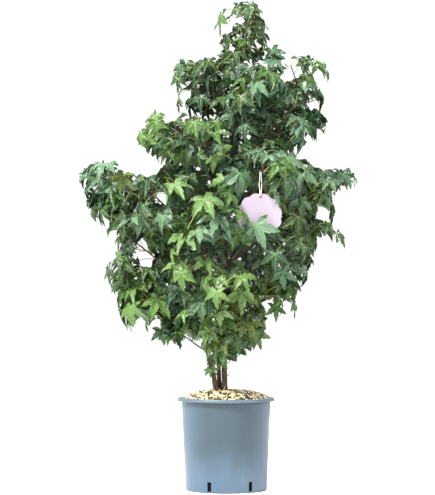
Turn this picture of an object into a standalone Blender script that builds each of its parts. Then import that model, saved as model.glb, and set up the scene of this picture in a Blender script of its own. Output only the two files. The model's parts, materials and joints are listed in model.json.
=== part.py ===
"""A young sweetgum with three stems, growing in a round nursery pot.

Metres, +Z up. The origin is the centre of the pot's flat underside, and the
side that faces -Y is the front. Pieces that touch on the real plant keep a
gap of 0.3 mm.

The crown is cut up into spaces, one for each mass of foliage. A mass grows in
its own space along one twig, the mass's stem, which goes on from the tip of a
bough or of one of the three stems. The lowest masses grow straight from the
sides of the stems.
"""

import math
import random
from dataclasses import dataclass

import bmesh
import bpy
from mathutils import Matrix, Vector
from mathutils.bvhtree import BVHTree

MM = 0.001
GAP = 0.3 * MM
UP = Vector((0, 0, 1))

# Pot: a tapered wall with a rim that turns out and down, and drain slots at its foot
POT_HEIGHT = 265 * MM
POT_FOOT_RADIUS = 116.6 * MM
POT_NECK_RADIUS = 129 * MM
POT_RIM_RADIUS = 140 * MM
POT_RIM_DEPTH = 11 * MM
POT_WALL = 2.6 * MM
POT_FLOOR = 3 * MM
POT_CHAMFER = 2 * MM
POT_SIDES = 40
SLOT_COUNT = 6
SLOT_WIDTH = 12 * MM
SLOT_FOOT = 5 * MM
SLOT_HEIGHT = 27 * MM
SLOT_TURN = math.radians(-24.3)

# Root ball: fills the pot and rises over its rim as a mound of gravel
MOUND_RISE = 18 * MM
MOUND_EDGE_DROP = 3 * MM
MOUND_PAD_RADIUS = 52 * MM
MOUND_RINGS = 4
MOUND_ROUNDNESS = 0.8
MOUND_LUMP = 1.6 * MM
GROUND = POT_HEIGHT + MOUND_RISE

# Stems and boughs
STEM_SIDES = 8
STEM_RINGS = 12
STEM_RING_SPACING = 1.4
FLARE_SHARE = 0.35
FLARE_HEIGHT = 35 * MM
FLARE_LOBES = 4
FLARE_LOBE_SHARE = 0.5
FIRST_FORK = 0.40
LAST_FORK = 0.02
BOUGH_SIDES = 5
BOUGH_RINGS = 4
BOUGH_TIP_RADIUS = 2.2 * MM
BOUGH_ROOT_RADIUS = 2.4 * MM
BOUGH_SWELL_PER_METRE = 8.5 * MM
BOUGH_STEM_SHARE = 0.8
COLLAR_SHARE = 0.35
TIP_DROP = 0.65
LINE_LIFT = 0.6
LINE_SPREAD = 0.6
FORK_SLOPES = (1.0, 0.8, 1.2, 0.6, 1.4)

# Foliage: twigs have three sides, and a leaf is a five-pointed star
SPACE_POWER = 3
SPACE_MARGIN = 0.8 * MM
LIMB_CLEARANCE = 1.0 * MM
BOUGH_ENTRY = 0.72
MASS_STEM_RADIUS = 2.5 * MM
MASS_STEM_RINGS = 4
TWIG_ROOT_RADIUS = 2.0 * MM
TWIG_TIP_RADIUS = 1.6 * MM
TWIG_STEP = 34 * MM
FIRST_TWIG = 0.1
TWIG_SPLAY = math.radians(65)
TWIG_STRAY = 0.35
TWIG_LIFT = 0.25
TWIG_DEPTH = 0.95
TWIG_REACH = (0.75, 0.95)
TWIG_LENGTHS = (1.0, 0.75, 0.55, 0.4)
FIRST_BUD = 0.25
BUD_STEP = 12 * MM
LEAF_LENGTH = 88 * MM
LEAF_THICKNESS = 1.7 * MM
LEAF_LOBES = ((0, 1.0), (52, 0.94), (112, 0.66))
LEAF_NOTCHES = ((26, 0.47), (82, 0.44))
LEAF_FOLD = 0.07
LEAF_CURL = 0.16
PETIOLE_RADIUS = 1.0 * MM
PETIOLE_TAPER = 0.75
PETIOLE_SHARE = (0.45, 0.85)
PETIOLE_LEAN = (0.1, 0.8)
PETIOLE_LIFT = 0.3
PETIOLE_STRAY = 0.25
LEAF_SIZES = (0.88, 1.08)
LEAF_DROOP = (math.radians(25), math.radians(85))
LEAF_OUTWARD = (0.6, 0.8)
LEAF_STRAY = 0.8
LEAF_ROLL = 0.5
LEAF_FOLD_BACK = -0.3
LEAF_EDGE_ON = 0.75
LEAF_MIDDLE = 0.35
SKIN_WEIGHT = 0.6
OUTER_WEIGHT = 0.3
LEAF_TRIES = 150
LEAVES_IN_ALL = 286
SEED = 7


@dataclass(frozen=True)
class Stem:
    """A stem: its foot on the ground, two handles its line bends to, the mass its tip carries, its radii."""

    name: str
    foot: tuple
    low_handle: tuple
    high_handle: tuple
    carries: str
    foot_radius: float
    tip_radius: float


STEMS = (
    Stem("stem_left", (-0.0275, -0.004, GROUND), (-0.111, -0.02, 0.52), (0.0, 0.0, 0.86),
         "foliage_upper_3", 6.9 * MM, 2.3 * MM),
    Stem("stem_centre", (-0.0185, 0.016, GROUND), (-0.036, 0.03, 0.54), (0.03, 0.085, 0.84),
         "foliage_upper_1", 5.2 * MM, 2.2 * MM),
    Stem("stem_right", (-0.0045, -0.003, GROUND), (-0.008, -0.015, 0.66), (0.0, -0.01, 0.98),
         "foliage_top", 8.2 * MM, 2.3 * MM),
)


@dataclass(frozen=True)
class Tier:
    """One tier of the crown: masses of foliage in a ring about the stems.

    height is the middle of the tier. left, right and depth say how far its
    foliage reaches from the pot's axis. first_turn is the way from the axis to
    the first mass, in degrees from the right. slope is the rise of the boughs.
    Every other mass stands higher by the stagger, and the right side is higher
    than the middle by the tilt. A tier that isn't on boughs grows straight
    from the stems.
    """

    name: str
    height: float
    half_height: float
    left: float
    right: float
    depth: float
    count: int
    first_turn: float
    half_width: float
    leaf_scale: float = 1.0
    slope: float = 0.75
    stagger: float = 0.0
    tilt: float = 0.0
    on_boughs: bool = True


TIERS = (
    Tier("top", 1.322, 0.110, -0.027, 0.130, 0.085, 1, 0, 0.085, 0.70),
    Tier("upper", 1.132, 0.105, -0.180, 0.312, 0.215, 4, 0, 0.125, 0.86, stagger=-60 * MM),
    Tier("high", 1.018, 0.110, -0.290, 0.330, 0.265, 4, 40, 0.145, 0.95, stagger=-40 * MM, tilt=50 * MM),
    Tier("middle", 0.855, 0.115, -0.450, 0.390, 0.320, 6, -7, 0.140, stagger=40 * MM),
    Tier("wide", 0.710, 0.110, -0.375, 0.370, 0.310, 6, 20, 0.140, stagger=-60 * MM),
    Tier("low", 0.565, 0.110, -0.355, 0.260, 0.270, 4, 0, 0.150, stagger=40 * MM),
    Tier("foot", 0.440, 0.090, -0.215, 0.150, 0.190, 3, -60, 0.110, stagger=20 * MM, on_boughs=False),
)


@dataclass(frozen=True)
class Mass:
    """A mass of foliage: the tier it belongs to, its centre and its half sizes."""

    name: str
    tier: Tier
    centre: Vector
    half: Vector

    def size(self):
        """Return the square of the mass's mean radius."""
        return (self.half.x * self.half.y * self.half.z) ** (2 / 3)


def masses_of(tier):
    """Place a tier's masses in a ring inside its reach to the left, the right, the front and the back."""
    middle = (tier.left + tier.right) / 2
    half_span = (tier.right - tier.left) / 2
    masses = []
    for k in range(tier.count):
        turn = math.radians(tier.first_turn) + math.tau * k / tier.count
        across = middle + max(0, half_span - tier.half_width) * math.cos(turn)
        away = max(0, tier.depth - tier.half_width) * math.sin(turn)
        name = f"foliage_{tier.name}_{k + 1}" if tier.count > 1 else f"foliage_{tier.name}"
        half = Vector((min(tier.half_width, half_span), min(tier.half_width, tier.depth), tier.half_height))
        height = tier.height + tier.stagger * (k % 2 - 0.5) + tier.tilt * math.cos(turn)
        masses.append(Mass(name, tier, Vector((across, away, height)), half))
    return masses


MASSES = [mass for tier in TIERS for mass in masses_of(tier)]

# Tag: a blank round card with a scalloped edge, hung on a loop of string from a mass's stem
TAG_MASS = "foliage_middle_6"
TAG_PLACE = 0.70
TAG_RADIUS = 64 * MM
TAG_SCALLOPS = 12
TAG_SCALLOP_DEPTH = 4.5 * MM
TAG_SCALLOP_POINTS = 6
TAG_THICKNESS = 0.9 * MM
TAG_HOLE_RADIUS = 3.2 * MM
TAG_HOLE_SIDES = 12
TAG_HOLE_RISE = 54 * MM
TAG_TURN = math.radians(4)
TAG_DROP = 70 * MM
TAG_IN_VIEW = 0.35
TAG_VIEW_DEPTH = 150 * MM
STRING_RADIUS = 1.0 * MM
STRING_SIDES = 6
STRING_LOOP_RADIUS = 3.1 * MM
STRING_LOOP_ENDS = math.radians(50)
STRING_LOOP_STEPS = 9
STRING_SPREAD = 4.2 * MM
STRING_SPREAD_DEPTH = 1.5 * MM
STRING_THROUGH = 1.7 * MM
STRING_BEND = (0.6 * MM, 3.0 * MM, 2.0 * MM)
KNOT_RADIUS = 3.2 * MM
KNOT_DROP = 6 * MM
KNOT_ENTRY = 1.4

LEAF_GREEN = (0.075, 0.165, 0.055, 1)
BARK_BROWN = (0.115, 0.085, 0.055, 1)
POT_GREY_BLUE = (0.26, 0.36, 0.44, 1)
GRAVEL_TAN = (0.42, 0.34, 0.23, 1)
CARD_PINK = (0.78, 0.68, 0.80, 1)
STRING_WHITE = (0.85, 0.85, 0.82, 1)


def clear_scene():
    """Remove whatever the file held before."""
    for thing in list(bpy.data.objects):
        bpy.data.objects.remove(thing, do_unlink=True)


def finish(name, colour, roughness):
    """Return a plain material."""
    material = bpy.data.materials.new(name)
    material.use_nodes = True
    shader = material.node_tree.nodes["Principled BSDF"]
    shader.inputs["Base Color"].default_value = colour
    shader.inputs["Roughness"].default_value = roughness
    shader.inputs["Metallic"].default_value = 0
    return material


def add_object(name, mesh_data, material, origin=(0, 0, 0)):
    """Make an object from a bmesh in world space, with its origin at the given point."""
    origin = Vector(origin)
    bmesh.ops.translate(mesh_data, verts=mesh_data.verts, vec=-origin)
    mesh = bpy.data.meshes.new(name)
    mesh_data.to_mesh(mesh)
    mesh_data.free()
    mesh.materials.append(material)
    piece = bpy.data.objects.new(name, mesh)
    piece.location = origin
    bpy.context.scene.collection.objects.link(piece)
    return piece


def as_bmesh(verts, faces):
    """Return a bmesh of the given corners and faces."""
    mesh_data = bmesh.new()
    corners = [mesh_data.verts.new(v) for v in verts]
    for face in faces:
        mesh_data.faces.new([corners[i] for i in face])
    return mesh_data


def turned(profile, sides):
    """Return a closed bmesh of a profile of (radius, height) turned about the Z axis."""
    mesh_data = bmesh.new()
    corners = [mesh_data.verts.new((radius, 0, height)) for radius, height in profile]
    edges = [mesh_data.edges.new(pair) for pair in zip(corners, corners[1:])]
    bmesh.ops.spin(mesh_data, geom=corners + edges, cent=(0, 0, 0), axis=UP,
                   angle=math.tau, steps=sides, use_duplicate=False)
    bmesh.ops.remove_doubles(mesh_data, verts=mesh_data.verts, dist=0.001 * MM)
    bmesh.ops.recalc_face_normals(mesh_data, faces=mesh_data.faces)
    return mesh_data


def shade_round(piece, sharp_angle=30):
    """Shade a round piece smooth, with its sharper edges kept."""
    piece.data.shade_smooth()
    piece.data.set_sharp_from_angle(angle=math.radians(sharp_angle))


def bezier(handles, share):
    """Return the point of a Bezier line at a share of its length."""
    points = list(handles)
    while len(points) > 1:
        points = [a.lerp(b, share) for a, b in zip(points, points[1:])]
    return points[0]


def tube_frames(points, foot_normal=None):
    """Return the way along a line at each of its points, and a level-kept way across it."""
    steps = [(b - a).normalized() for a, b in zip(points, points[1:])]
    alongs = [steps[0]] + [(a + b).normalized() for a, b in zip(steps, steps[1:])] + [steps[-1]]
    if foot_normal is not None:
        alongs[0] = foot_normal
    across = alongs[0].orthogonal()
    frames = []
    for along in alongs:
        across = (across - along * across.dot(along)).normalized()
        frames.append((along, across))
    return frames


def tube(points, radii, sides, foot_normal=None, swelling=None):
    """Return the corners and faces of a closed tapering tube along the points.

    The first ring is square to foot_normal where that is given. swelling is a
    function of the ring and the angle that makes the radius larger.
    """
    verts = []
    for ring, (along, across) in enumerate(tube_frames(points, foot_normal)):
        other = along.cross(across)
        for k in range(sides):
            angle = math.tau * k / sides
            reach = radii[ring] * (swelling(ring, angle) if swelling else 1)
            verts.append(points[ring] + (across * math.cos(angle) + other * math.sin(angle)) * reach)
    faces = [tuple(reversed(range(sides)))]
    for ring in range(len(points) - 1):
        for k in range(sides):
            a = ring * sides + k
            b = ring * sides + (k + 1) % sides
            faces.append((a, b, b + sides, a + sides))
    faces.append(tuple(range((len(points) - 1) * sides, len(points) * sides)))
    return verts, faces


def tree_of(verts, faces):
    """Return a search tree of the faces, for tests of what meets what."""
    return BVHTree.FromPolygons([tuple(v) for v in verts], faces)


def pot_radius(height):
    """Return the outer radius of the pot's wall at a height."""
    return POT_FOOT_RADIUS + (POT_NECK_RADIUS - POT_FOOT_RADIUS) * height / POT_HEIGHT


def make_pot(material):
    """Turn the pot's shell and cut the drain slots through its foot."""
    skirt_foot = POT_HEIGHT - POT_RIM_DEPTH
    flange_foot = POT_HEIGHT - POT_WALL
    profile = [
        (0, 0),
        (POT_FOOT_RADIUS - POT_CHAMFER, 0),
        (pot_radius(POT_CHAMFER), POT_CHAMFER),
        (pot_radius(flange_foot), flange_foot),
        (POT_RIM_RADIUS - POT_WALL, flange_foot),
        (POT_RIM_RADIUS - POT_WALL, skirt_foot),
        (POT_RIM_RADIUS, skirt_foot),
        (POT_RIM_RADIUS, POT_HEIGHT - POT_CHAMFER),
        (POT_RIM_RADIUS - POT_CHAMFER, POT_HEIGHT),
        (pot_radius(POT_HEIGHT) - POT_WALL, POT_HEIGHT),
        (pot_radius(POT_FLOOR) - POT_WALL, POT_FLOOR),
        (0, POT_FLOOR),
    ]
    pot = add_object("pot", turned(profile, POT_SIDES), material)
    cutters = bmesh.new()
    for k in range(SLOT_COUNT):
        turn = SLOT_TURN + math.tau * k / SLOT_COUNT
        box = bmesh.ops.create_cube(cutters, size=1)["verts"]
        bmesh.ops.scale(cutters, verts=box, vec=(SLOT_WIDTH, 8 * POT_WALL, SLOT_HEIGHT))
        middle = (0, -pot_radius(SLOT_HEIGHT / 2), SLOT_FOOT + SLOT_HEIGHT / 2)
        bmesh.ops.translate(cutters, verts=box, vec=middle)
        bmesh.ops.rotate(cutters, verts=box, matrix=Matrix.Rotation(turn, 3, "Z"))
    cutter = add_object("pot_slot_cutter", cutters, material)
    cutter.hide_render = True
    cutter.display_type = "WIRE"
    slots = pot.modifiers.new("drain_slots", "BOOLEAN")
    slots.operation = "DIFFERENCE"
    slots.object = cutter
    shade_round(pot)
    return [pot, cutter]


def make_root_ball(material):
    """Turn the root ball, which rises to a lumpy mound with a flat middle for the stems."""
    inset = POT_WALL + GAP
    edge = POT_HEIGHT - MOUND_EDGE_DROP
    floor = POT_FLOOR + GAP
    profile = [(0, floor), (pot_radius(floor) - inset, floor), (pot_radius(edge) - inset, edge)]
    rim = profile[-1][0]
    top = GROUND - GAP
    for k in range(1, MOUND_RINGS + 1):
        share = k / MOUND_RINGS
        rise = math.sin(share * math.pi / 2) ** MOUND_ROUNDNESS
        profile.append((rim + (MOUND_PAD_RADIUS - rim) * share, edge + (top - edge) * rise))
    profile.append((0, top))
    ball = turned(profile, POT_SIDES)
    lumps = random.Random(SEED)
    for corner in ball.verts:
        reach = math.hypot(corner.co.x, corner.co.y)
        if corner.co.z > edge + 0.1 * MM and reach > MOUND_PAD_RADIUS + 0.1 * MM:
            corner.co.z += lumps.uniform(-MOUND_LUMP, MOUND_LUMP)
    return add_object("root_ball", ball, material)


@dataclass
class Limb:
    """A stem or a bough: the line it follows, its radius at each point, and its mesh."""

    name: str
    points: list
    radii: list
    verts: list
    faces: list

    def grown(self, extra):
        """Return a search tree of the limb made thicker all round."""
        radii = [radius + extra for radius in self.radii]
        points = list(self.points)
        points[0] = points[0] - (points[1] - points[0]).normalized() * extra
        points[-1] = points[-1] + (points[-1] - points[-2]).normalized() * extra
        return tree_of(*tube(points, radii, len(self.verts) // len(self.points)))

    def at_height(self, height):
        """Return the limb's middle and radius at a height."""
        for k in range(len(self.points) - 1):
            low, high = self.points[k], self.points[k + 1]
            if low.z <= height <= high.z:
                share = (height - low.z) / (high.z - low.z)
                return low.lerp(high, share), self.radii[k] * (1 - share) + self.radii[k + 1] * share
        raise ValueError(f"{self.name} doesn't reach {height}")


def stem_limb(stem):
    """Work out a stem, from its flat cut and root flare to its tip."""
    mass = next(mass for mass in MASSES if mass.name == stem.carries)
    tip = mass.centre - UP * mass.half.z * TIP_DROP
    handles = [Vector(p) for p in (stem.foot, stem.low_handle, stem.high_handle)] + [tip]
    shares = [(k / (STEM_RINGS - 1)) ** STEM_RING_SPACING for k in range(STEM_RINGS)]
    points = [bezier(handles, share) for share in shares]
    radii = [stem.foot_radius + (stem.tip_radius - stem.foot_radius) * share for share in shares]

    def flare(ring, angle):
        fade = max(0, 1 - (points[ring].z - GROUND) / FLARE_HEIGHT) ** 2
        return 1 + FLARE_SHARE * fade * (1 - FLARE_LOBE_SHARE * math.cos(FLARE_LOBES * angle))

    verts, faces = tube(points, radii, STEM_SIDES, foot_normal=UP, swelling=flare)
    return Limb(stem.name, points, radii, verts, faces)


class Space:
    """The room that belongs to one mass: a swollen ellipsoid cut flat towards its neighbours."""

    def __init__(self, mass, masses):
        self.centre = mass.centre
        self.half = mass.half
        self.walls = []
        for other in masses:
            if other.name != mass.name:
                normal, distance = self.wall_towards(mass, other)
                if distance - normal.dot(self.centre) < max(self.half):
                    self.walls.append((normal, distance))

    @staticmethod
    def wall_towards(mass, other):
        """Return the flat wall between two masses, as its normal and its distance."""
        apart = other.centre - mass.centre
        level = other.centre.length_squared - mass.centre.length_squared + mass.size() - other.size()
        return apart.normalized(), level / (2 * apart.length)

    def depth(self, point):
        """Return 0 at the centre and 1 at the skin."""
        away = point - self.centre
        parts = (away.x / self.half.x, away.y / self.half.y, away.z / self.half.z)
        return sum(abs(part) ** SPACE_POWER for part in parts) ** (1 / SPACE_POWER)

    def holds(self, points, reach=1.0):
        """Return whether all the points lie in the space."""
        for point in points:
            if self.depth(point) > reach:
                return False
            for normal, distance in self.walls:
                if normal.dot(point) > distance - SPACE_MARGIN:
                    return False
        return True


def outward(point):
    """Return the level direction from the crown's axis to a point."""
    flat = Vector((point.x, point.y, 0))
    return flat.normalized() if flat.length > 30 * MM else Vector((0, 0, 0))


def limb_line(root, space):
    """Return the line that runs from a fork through a mass to near its far side."""
    spread = outward(space.centre) * LINE_SPREAD
    far = space.centre + Vector((spread.x * space.half.x, spread.y * space.half.y, LINE_LIFT * space.half.z))
    middle = space.centre * 2 - (root + far) * 0.5
    return [root, middle, far]


def entry_share(line, space):
    """Return the share of the line at which it is well inside the space."""
    for k in range(1, 200):
        if space.holds([bezier(line, k / 200)], BOUGH_ENTRY):
            return k / 200
    raise ValueError("the line never enters its mass")


def forks_of(mass, stems, slope):
    """Return where a mass's bough could leave each stem, as pairs of stem and height, nearest first."""
    forks = []
    for stem in stems:
        height = mass.centre.z
        for _ in range(3):
            middle = stem.at_height(max(FIRST_FORK, min(height, stem.points[-1].z - LAST_FORK)))[0]
            reach = math.hypot(mass.centre.x - middle.x, mass.centre.y - middle.y)
            height = mass.centre.z - slope * reach
        forks.append((reach, stem, middle.z))
    return [fork[1:] for fork in sorted(forks, key=lambda fork: fork[0])]


def limb_at(mass, space, stem, height):
    """Work out a mass's bough, or None where it has none, and the mass's own stem."""
    middle, stem_radius = stem.at_height(height)
    away = space.centre - middle
    away = Vector((away.x, away.y, 0)).normalized()
    root = middle + away * (stem_radius + GAP)
    line = limb_line(root, space)
    if not mass.tier.on_boughs:
        return None, mass_stem(line, 0, root, away)
    entry = entry_share(line, space)
    shares = [entry * k / (BOUGH_RINGS - 1) for k in range(BOUGH_RINGS)]
    points = [bezier(line, share) for share in shares]
    length = sum((b - a).length for a, b in zip(points, points[1:]))
    root_radius = min(BOUGH_ROOT_RADIUS + BOUGH_SWELL_PER_METRE * length, BOUGH_STEM_SHARE * stem_radius)
    taper = [k / (BOUGH_RINGS - 1) for k in range(BOUGH_RINGS)]
    radii = [root_radius + (BOUGH_TIP_RADIUS - root_radius) * share for share in taper]

    def collar(ring, angle):
        return 1 + (COLLAR_SHARE if ring == 0 else 0)

    verts, faces = tube(points, radii, BOUGH_SIDES, foot_normal=away, swelling=collar)
    bough = Limb(mass.name.replace("foliage", "bough"), points, radii, verts, faces)
    ahead = (bezier(line, entry + 0.01) - points[-1]).normalized()
    return bough, mass_stem(line, entry, points[-1] + ahead * GAP, ahead)


def mass_stem(line, entry, root, foot_normal):
    """Return the stem of a mass, from its root on along a line that it joins at a share of its length."""
    shares = [entry + (1 - entry) * k / (MASS_STEM_RINGS - 1) for k in range(1, MASS_STEM_RINGS)]
    return Twig([root] + [bezier(line, share) for share in shares], MASS_STEM_RADIUS, foot_normal)


def grow_limb(mass, space, stems, limbs):
    """Return the bough and the mass's stem that pass clear of the other limbs, from the nearest fork."""
    for share in FORK_SLOPES:
        for stem, height in forks_of(mass, stems, mass.tier.slope * share):
            bough, leader = limb_at(mass, space, stem, height)
            rest = [limb.grown(LIMB_CLEARANCE) for limb in limbs if limb is not stem]
            trees = rest + [tree_of(stem.verts, stem.faces)]
            if all(is_clear(shape.verts, shape.faces, trees) for shape in (bough, leader) if shape):
                return bough, leader
    raise ValueError(f"{mass.name} has no clear way from a stem")


def is_clear(verts, faces, trees):
    """Return whether a shape meets none of the search trees."""
    shape = tree_of(verts, faces)
    return not any(shape.overlap(tree) for tree in trees)


def leaf_shape(root, foot, tip_way, upper_side, length):
    """Return the corners and faces of a leaf on its stalk, as one closed star-shaped lens.

    root is where the stalk leaves its twig, foot is where it meets the blade,
    tip_way is the way the middle lobe points, and upper_side is the way the
    blade's upper side faces.
    """
    side = tip_way.cross(upper_side).normalized()
    stalk = (foot - root).normalized()
    bend = (stalk + tip_way).normalized()
    under = bend.cross(side).normalized()
    section = [side * PETIOLE_RADIUS, -side * PETIOLE_RADIUS, under * LEAF_THICKNESS]
    verts = [foot + corner for corner in section]
    verts += [root + (corner - under * LEAF_THICKNESS * 0.4) * PETIOLE_TAPER for corner in section]
    verts.append(foot + tip_way * 2 * PETIOLE_RADIUS + upper_side * LEAF_THICKNESS * 0.3)
    outline = []
    for lobe in reversed(range(3)):
        outline.append((-LEAF_LOBES[lobe][0], LEAF_LOBES[lobe][1], 0))
        if lobe > 0:
            outline.append((-LEAF_NOTCHES[lobe - 1][0], LEAF_NOTCHES[lobe - 1][1], LEAF_FOLD))
    outline += [(-angle, reach, fold) for angle, reach, fold in reversed(outline[:-1])]
    for angle, reach, fold in outline:
        turn = math.radians(angle)
        flat = (tip_way * math.cos(turn) + side * math.sin(turn)) * reach
        height = fold - LEAF_CURL * reach ** 2
        verts.append(foot + (flat + upper_side * height) * length)
    chain = [1] + list(range(7, 7 + len(outline))) + [0]
    faces = [(6, 1, 0), (3, 4, 5)]
    for a, b in zip(chain, chain[1:]):
        faces.append((6, b, a))
        faces.append((2, a, b))
    for a, b in ((0, 1), (1, 2), (2, 0)):
        faces.append((a, b, b + 3, a + 3))
    return verts, faces


class Twig:
    """A three-sided twig, and the places on it where leaves and side twigs grow."""

    def __init__(self, points, root_radius, foot_normal=None):
        self.points = points
        taper = [k / (len(points) - 1) for k in range(len(points))]
        radii = [root_radius * (1 - share) + TWIG_TIP_RADIUS * share for share in taper]
        self.frames = tube_frames(points, foot_normal)
        self.verts, self.faces = tube(points, radii, 3, foot_normal)
        self.length = sum((b - a).length for a, b in zip(points, points[1:]))

    def place(self, share):
        """Return the point at a share of the twig's length, and the ways along and across it there."""
        left = share * self.length
        for k in range(len(self.points) - 1):
            step = self.points[k + 1] - self.points[k]
            if left <= step.length or k == len(self.points) - 2:
                along = step.normalized()
                across = self.frames[k][1]
                across = (across - along * across.dot(along)).normalized()
                return self.points[k] + along * left, along, across
            left -= step.length


def side_way(along, across, side, stray=0.0):
    """Return the way that the middle of a twig's side faces."""
    return Matrix.Rotation(math.pi / 3 + side * math.tau / 3 + stray, 3, along) @ across


class Foliage:
    """One mass as it grows: its twigs and leaves, and what they must keep clear of."""

    def __init__(self, mass, space, leader, obstacles, seed):
        self.mass = mass
        self.space = space
        self.obstacles = obstacles
        self.dice = random.Random(seed)
        self.leaves = []
        self.blades = []
        self.middles = []
        self.twigs = [leader]

    def grow_twigs(self):
        """Grow side twigs round the stem, each the longest of a few tries that has room."""
        stem = self.twigs[0]
        count = max(4, round(stem.length / TWIG_STEP))
        for k in range(count):
            share = FIRST_TWIG + (1 - FIRST_TWIG) * k / count
            for shorter in TWIG_LENGTHS:
                twig = self.twig_try(stem, share, k, shorter)
                if twig:
                    self.twigs.append(twig)
                    break

    def twig_try(self, stem, share, order, shorter):
        """Return a side twig of some of the full length that has room, or None."""
        root, along, across = stem.place(share)
        for turn in range(3):
            away = side_way(along, across, order + turn, self.dice.uniform(-TWIG_STRAY, TWIG_STRAY))
            way = along * math.cos(TWIG_SPLAY) + away * math.sin(TWIG_SPLAY)
            reach = math.sqrt(self.mass.size()) * self.dice.uniform(*TWIG_REACH) * shorter
            tip = root + (way + UP * TWIG_LIFT).normalized() * reach
            twig = Twig([root, tip], TWIG_ROOT_RADIUS)
            if self.space.holds(twig.verts, TWIG_DEPTH) and is_clear(twig.verts, twig.faces, self.obstacles):
                return twig
        return None

    def buds(self):
        """Return each place where a leaf can grow, with the ways along and across the twig there."""
        places = []
        for twig in self.twigs:
            count = max(2, round(twig.length / BUD_STEP))
            for k in range(count):
                share = 1 - (k + 0.3) / count
                if twig is self.twigs[0] or share > FIRST_BUD:
                    places.append((twig.place(share), k))
        self.dice.shuffle(places)
        return places

    def leaf_try(self, place, side):
        """Return one leaf that could grow at a bud, as its middle, corners and faces, or None."""
        root, along, across = place
        length = LEAF_LENGTH * self.mass.tier.leaf_scale * self.dice.uniform(*LEAF_SIZES)
        away = side_way(along, across, side, self.dice.uniform(-PETIOLE_STRAY, PETIOLE_STRAY))
        stalk = (along * self.dice.uniform(*PETIOLE_LEAN) + away + UP * PETIOLE_LIFT).normalized()
        foot = root + stalk * length * self.dice.uniform(*PETIOLE_SHARE)
        level = Vector((stalk.x, stalk.y, 0)).normalized() * LEAF_OUTWARD[0] + outward(foot) * LEAF_OUTWARD[1]
        heading = Matrix.Rotation(self.dice.uniform(-LEAF_STRAY, LEAF_STRAY), 3, "Z") @ level.normalized()
        droop = self.dice.uniform(*LEAF_DROOP)
        tip_way = heading * math.cos(droop) - UP * math.sin(droop)
        upper_side = heading * math.sin(droop) + UP * math.cos(droop)
        upper_side.rotate(Matrix.Rotation(self.dice.uniform(-LEAF_ROLL, LEAF_ROLL), 3, tip_way))
        edge_on = abs(stalk.dot(tip_way.cross(upper_side)))
        if stalk.dot(tip_way) < LEAF_FOLD_BACK or edge_on > LEAF_EDGE_ON:
            return None
        verts, faces = leaf_shape(root, foot, tip_way, upper_side, length)
        return foot + tip_way * length * LEAF_MIDDLE, verts, faces

    def grow_leaves(self, count):
        """Grow leaves at the buds, each the best of its tries that has room."""
        wood = [tree_of(twig.verts, twig.faces) for twig in self.twigs]
        places = self.buds()
        for side in range(3):
            for place, order in places:
                if len(self.leaves) >= count:
                    return
                best = None
                for _ in range(LEAF_TRIES):
                    leaf = self.leaf_try(place, order + side)
                    if leaf is None or not self.space.holds(leaf[1][:3] + leaf[1][6:]):
                        continue
                    score = self.score(leaf)
                    if best is not None and score <= best[0]:
                        continue
                    blade = [face for face in leaf[2] if not set(face) & {3, 4, 5}]
                    if not is_clear(leaf[1], blade, wood):
                        continue
                    if is_clear(leaf[1], leaf[2], self.obstacles + self.blades):
                        best = (score, leaf)
                if best:
                    middle, verts, faces = best[1]
                    self.leaves.append((verts, faces))
                    self.blades.append(tree_of(verts, faces))
                    self.middles.append(middle)

    def score(self, leaf):
        """Return how well a leaf fills the space: far from the others, and near the skin."""
        middle, verts, _ = leaf
        apart = min(((middle - other).length for other in self.middles), default=LEAF_LENGTH)
        out = outward(self.space.centre).dot(middle - self.space.centre) / self.space.half.x
        skin = max(self.space.depth(v) for v in verts[6:])
        return min(apart / LEAF_LENGTH, 1) + SKIN_WEIGHT * skin + OUTER_WEIGHT * out


def fuse(name, shapes, material, origin):
    """Join the shapes of a mass into one solid, and remove the pieces it was made from."""
    first = add_object(name, as_bmesh(*shapes[0]), material)
    group = bpy.data.collections.new(name + "_pieces")
    bpy.context.scene.collection.children.link(group)
    for k, shape in enumerate(shapes[1:]):
        piece = add_object(f"{name}_piece_{k}", as_bmesh(*shape), material)
        bpy.context.scene.collection.objects.unlink(piece)
        group.objects.link(piece)
    join = first.modifiers.new("join", "BOOLEAN")
    join.operation = "UNION"
    join.operand_type = "COLLECTION"
    join.collection = group
    join.solver = "EXACT"
    shape = bpy.context.evaluated_depsgraph_get()
    joined = bmesh.new()
    joined.from_object(first, shape)
    for piece in list(group.objects) + [first]:
        bpy.data.objects.remove(piece, do_unlink=True)
    bpy.data.collections.remove(group)
    plain = joined.copy()
    bmesh.ops.dissolve_limit(plain, angle_limit=math.radians(0.1), verts=plain.verts, edges=plain.edges)
    for mesh_data in (plain, joined):
        bmesh.ops.triangulate(mesh_data, faces=mesh_data.faces)
        keep_largest(mesh_data)
    if all(edge.is_manifold for edge in plain.edges):
        joined.free()
        return add_object(name, plain, material, origin)
    plain.free()
    return add_object(name, joined, material, origin)


def keep_largest(joined):
    """Drop loose scraps, and the inner skin of any hollow that the union sealed."""
    joined.faces.ensure_lookup_table()
    waiting = set(joined.faces)
    groups = []
    while waiting:
        group = {waiting.pop()}
        front = list(group)
        while front:
            face = front.pop()
            for edge in face.edges:
                for near in edge.link_faces:
                    if near in waiting:
                        waiting.remove(near)
                        group.add(near)
                        front.append(near)
        groups.append(group)
    groups.sort(key=len, reverse=True)
    extra = [face for group in groups[1:] for face in group]
    if extra:
        bmesh.ops.delete(joined, geom=extra, context="FACES")


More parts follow.
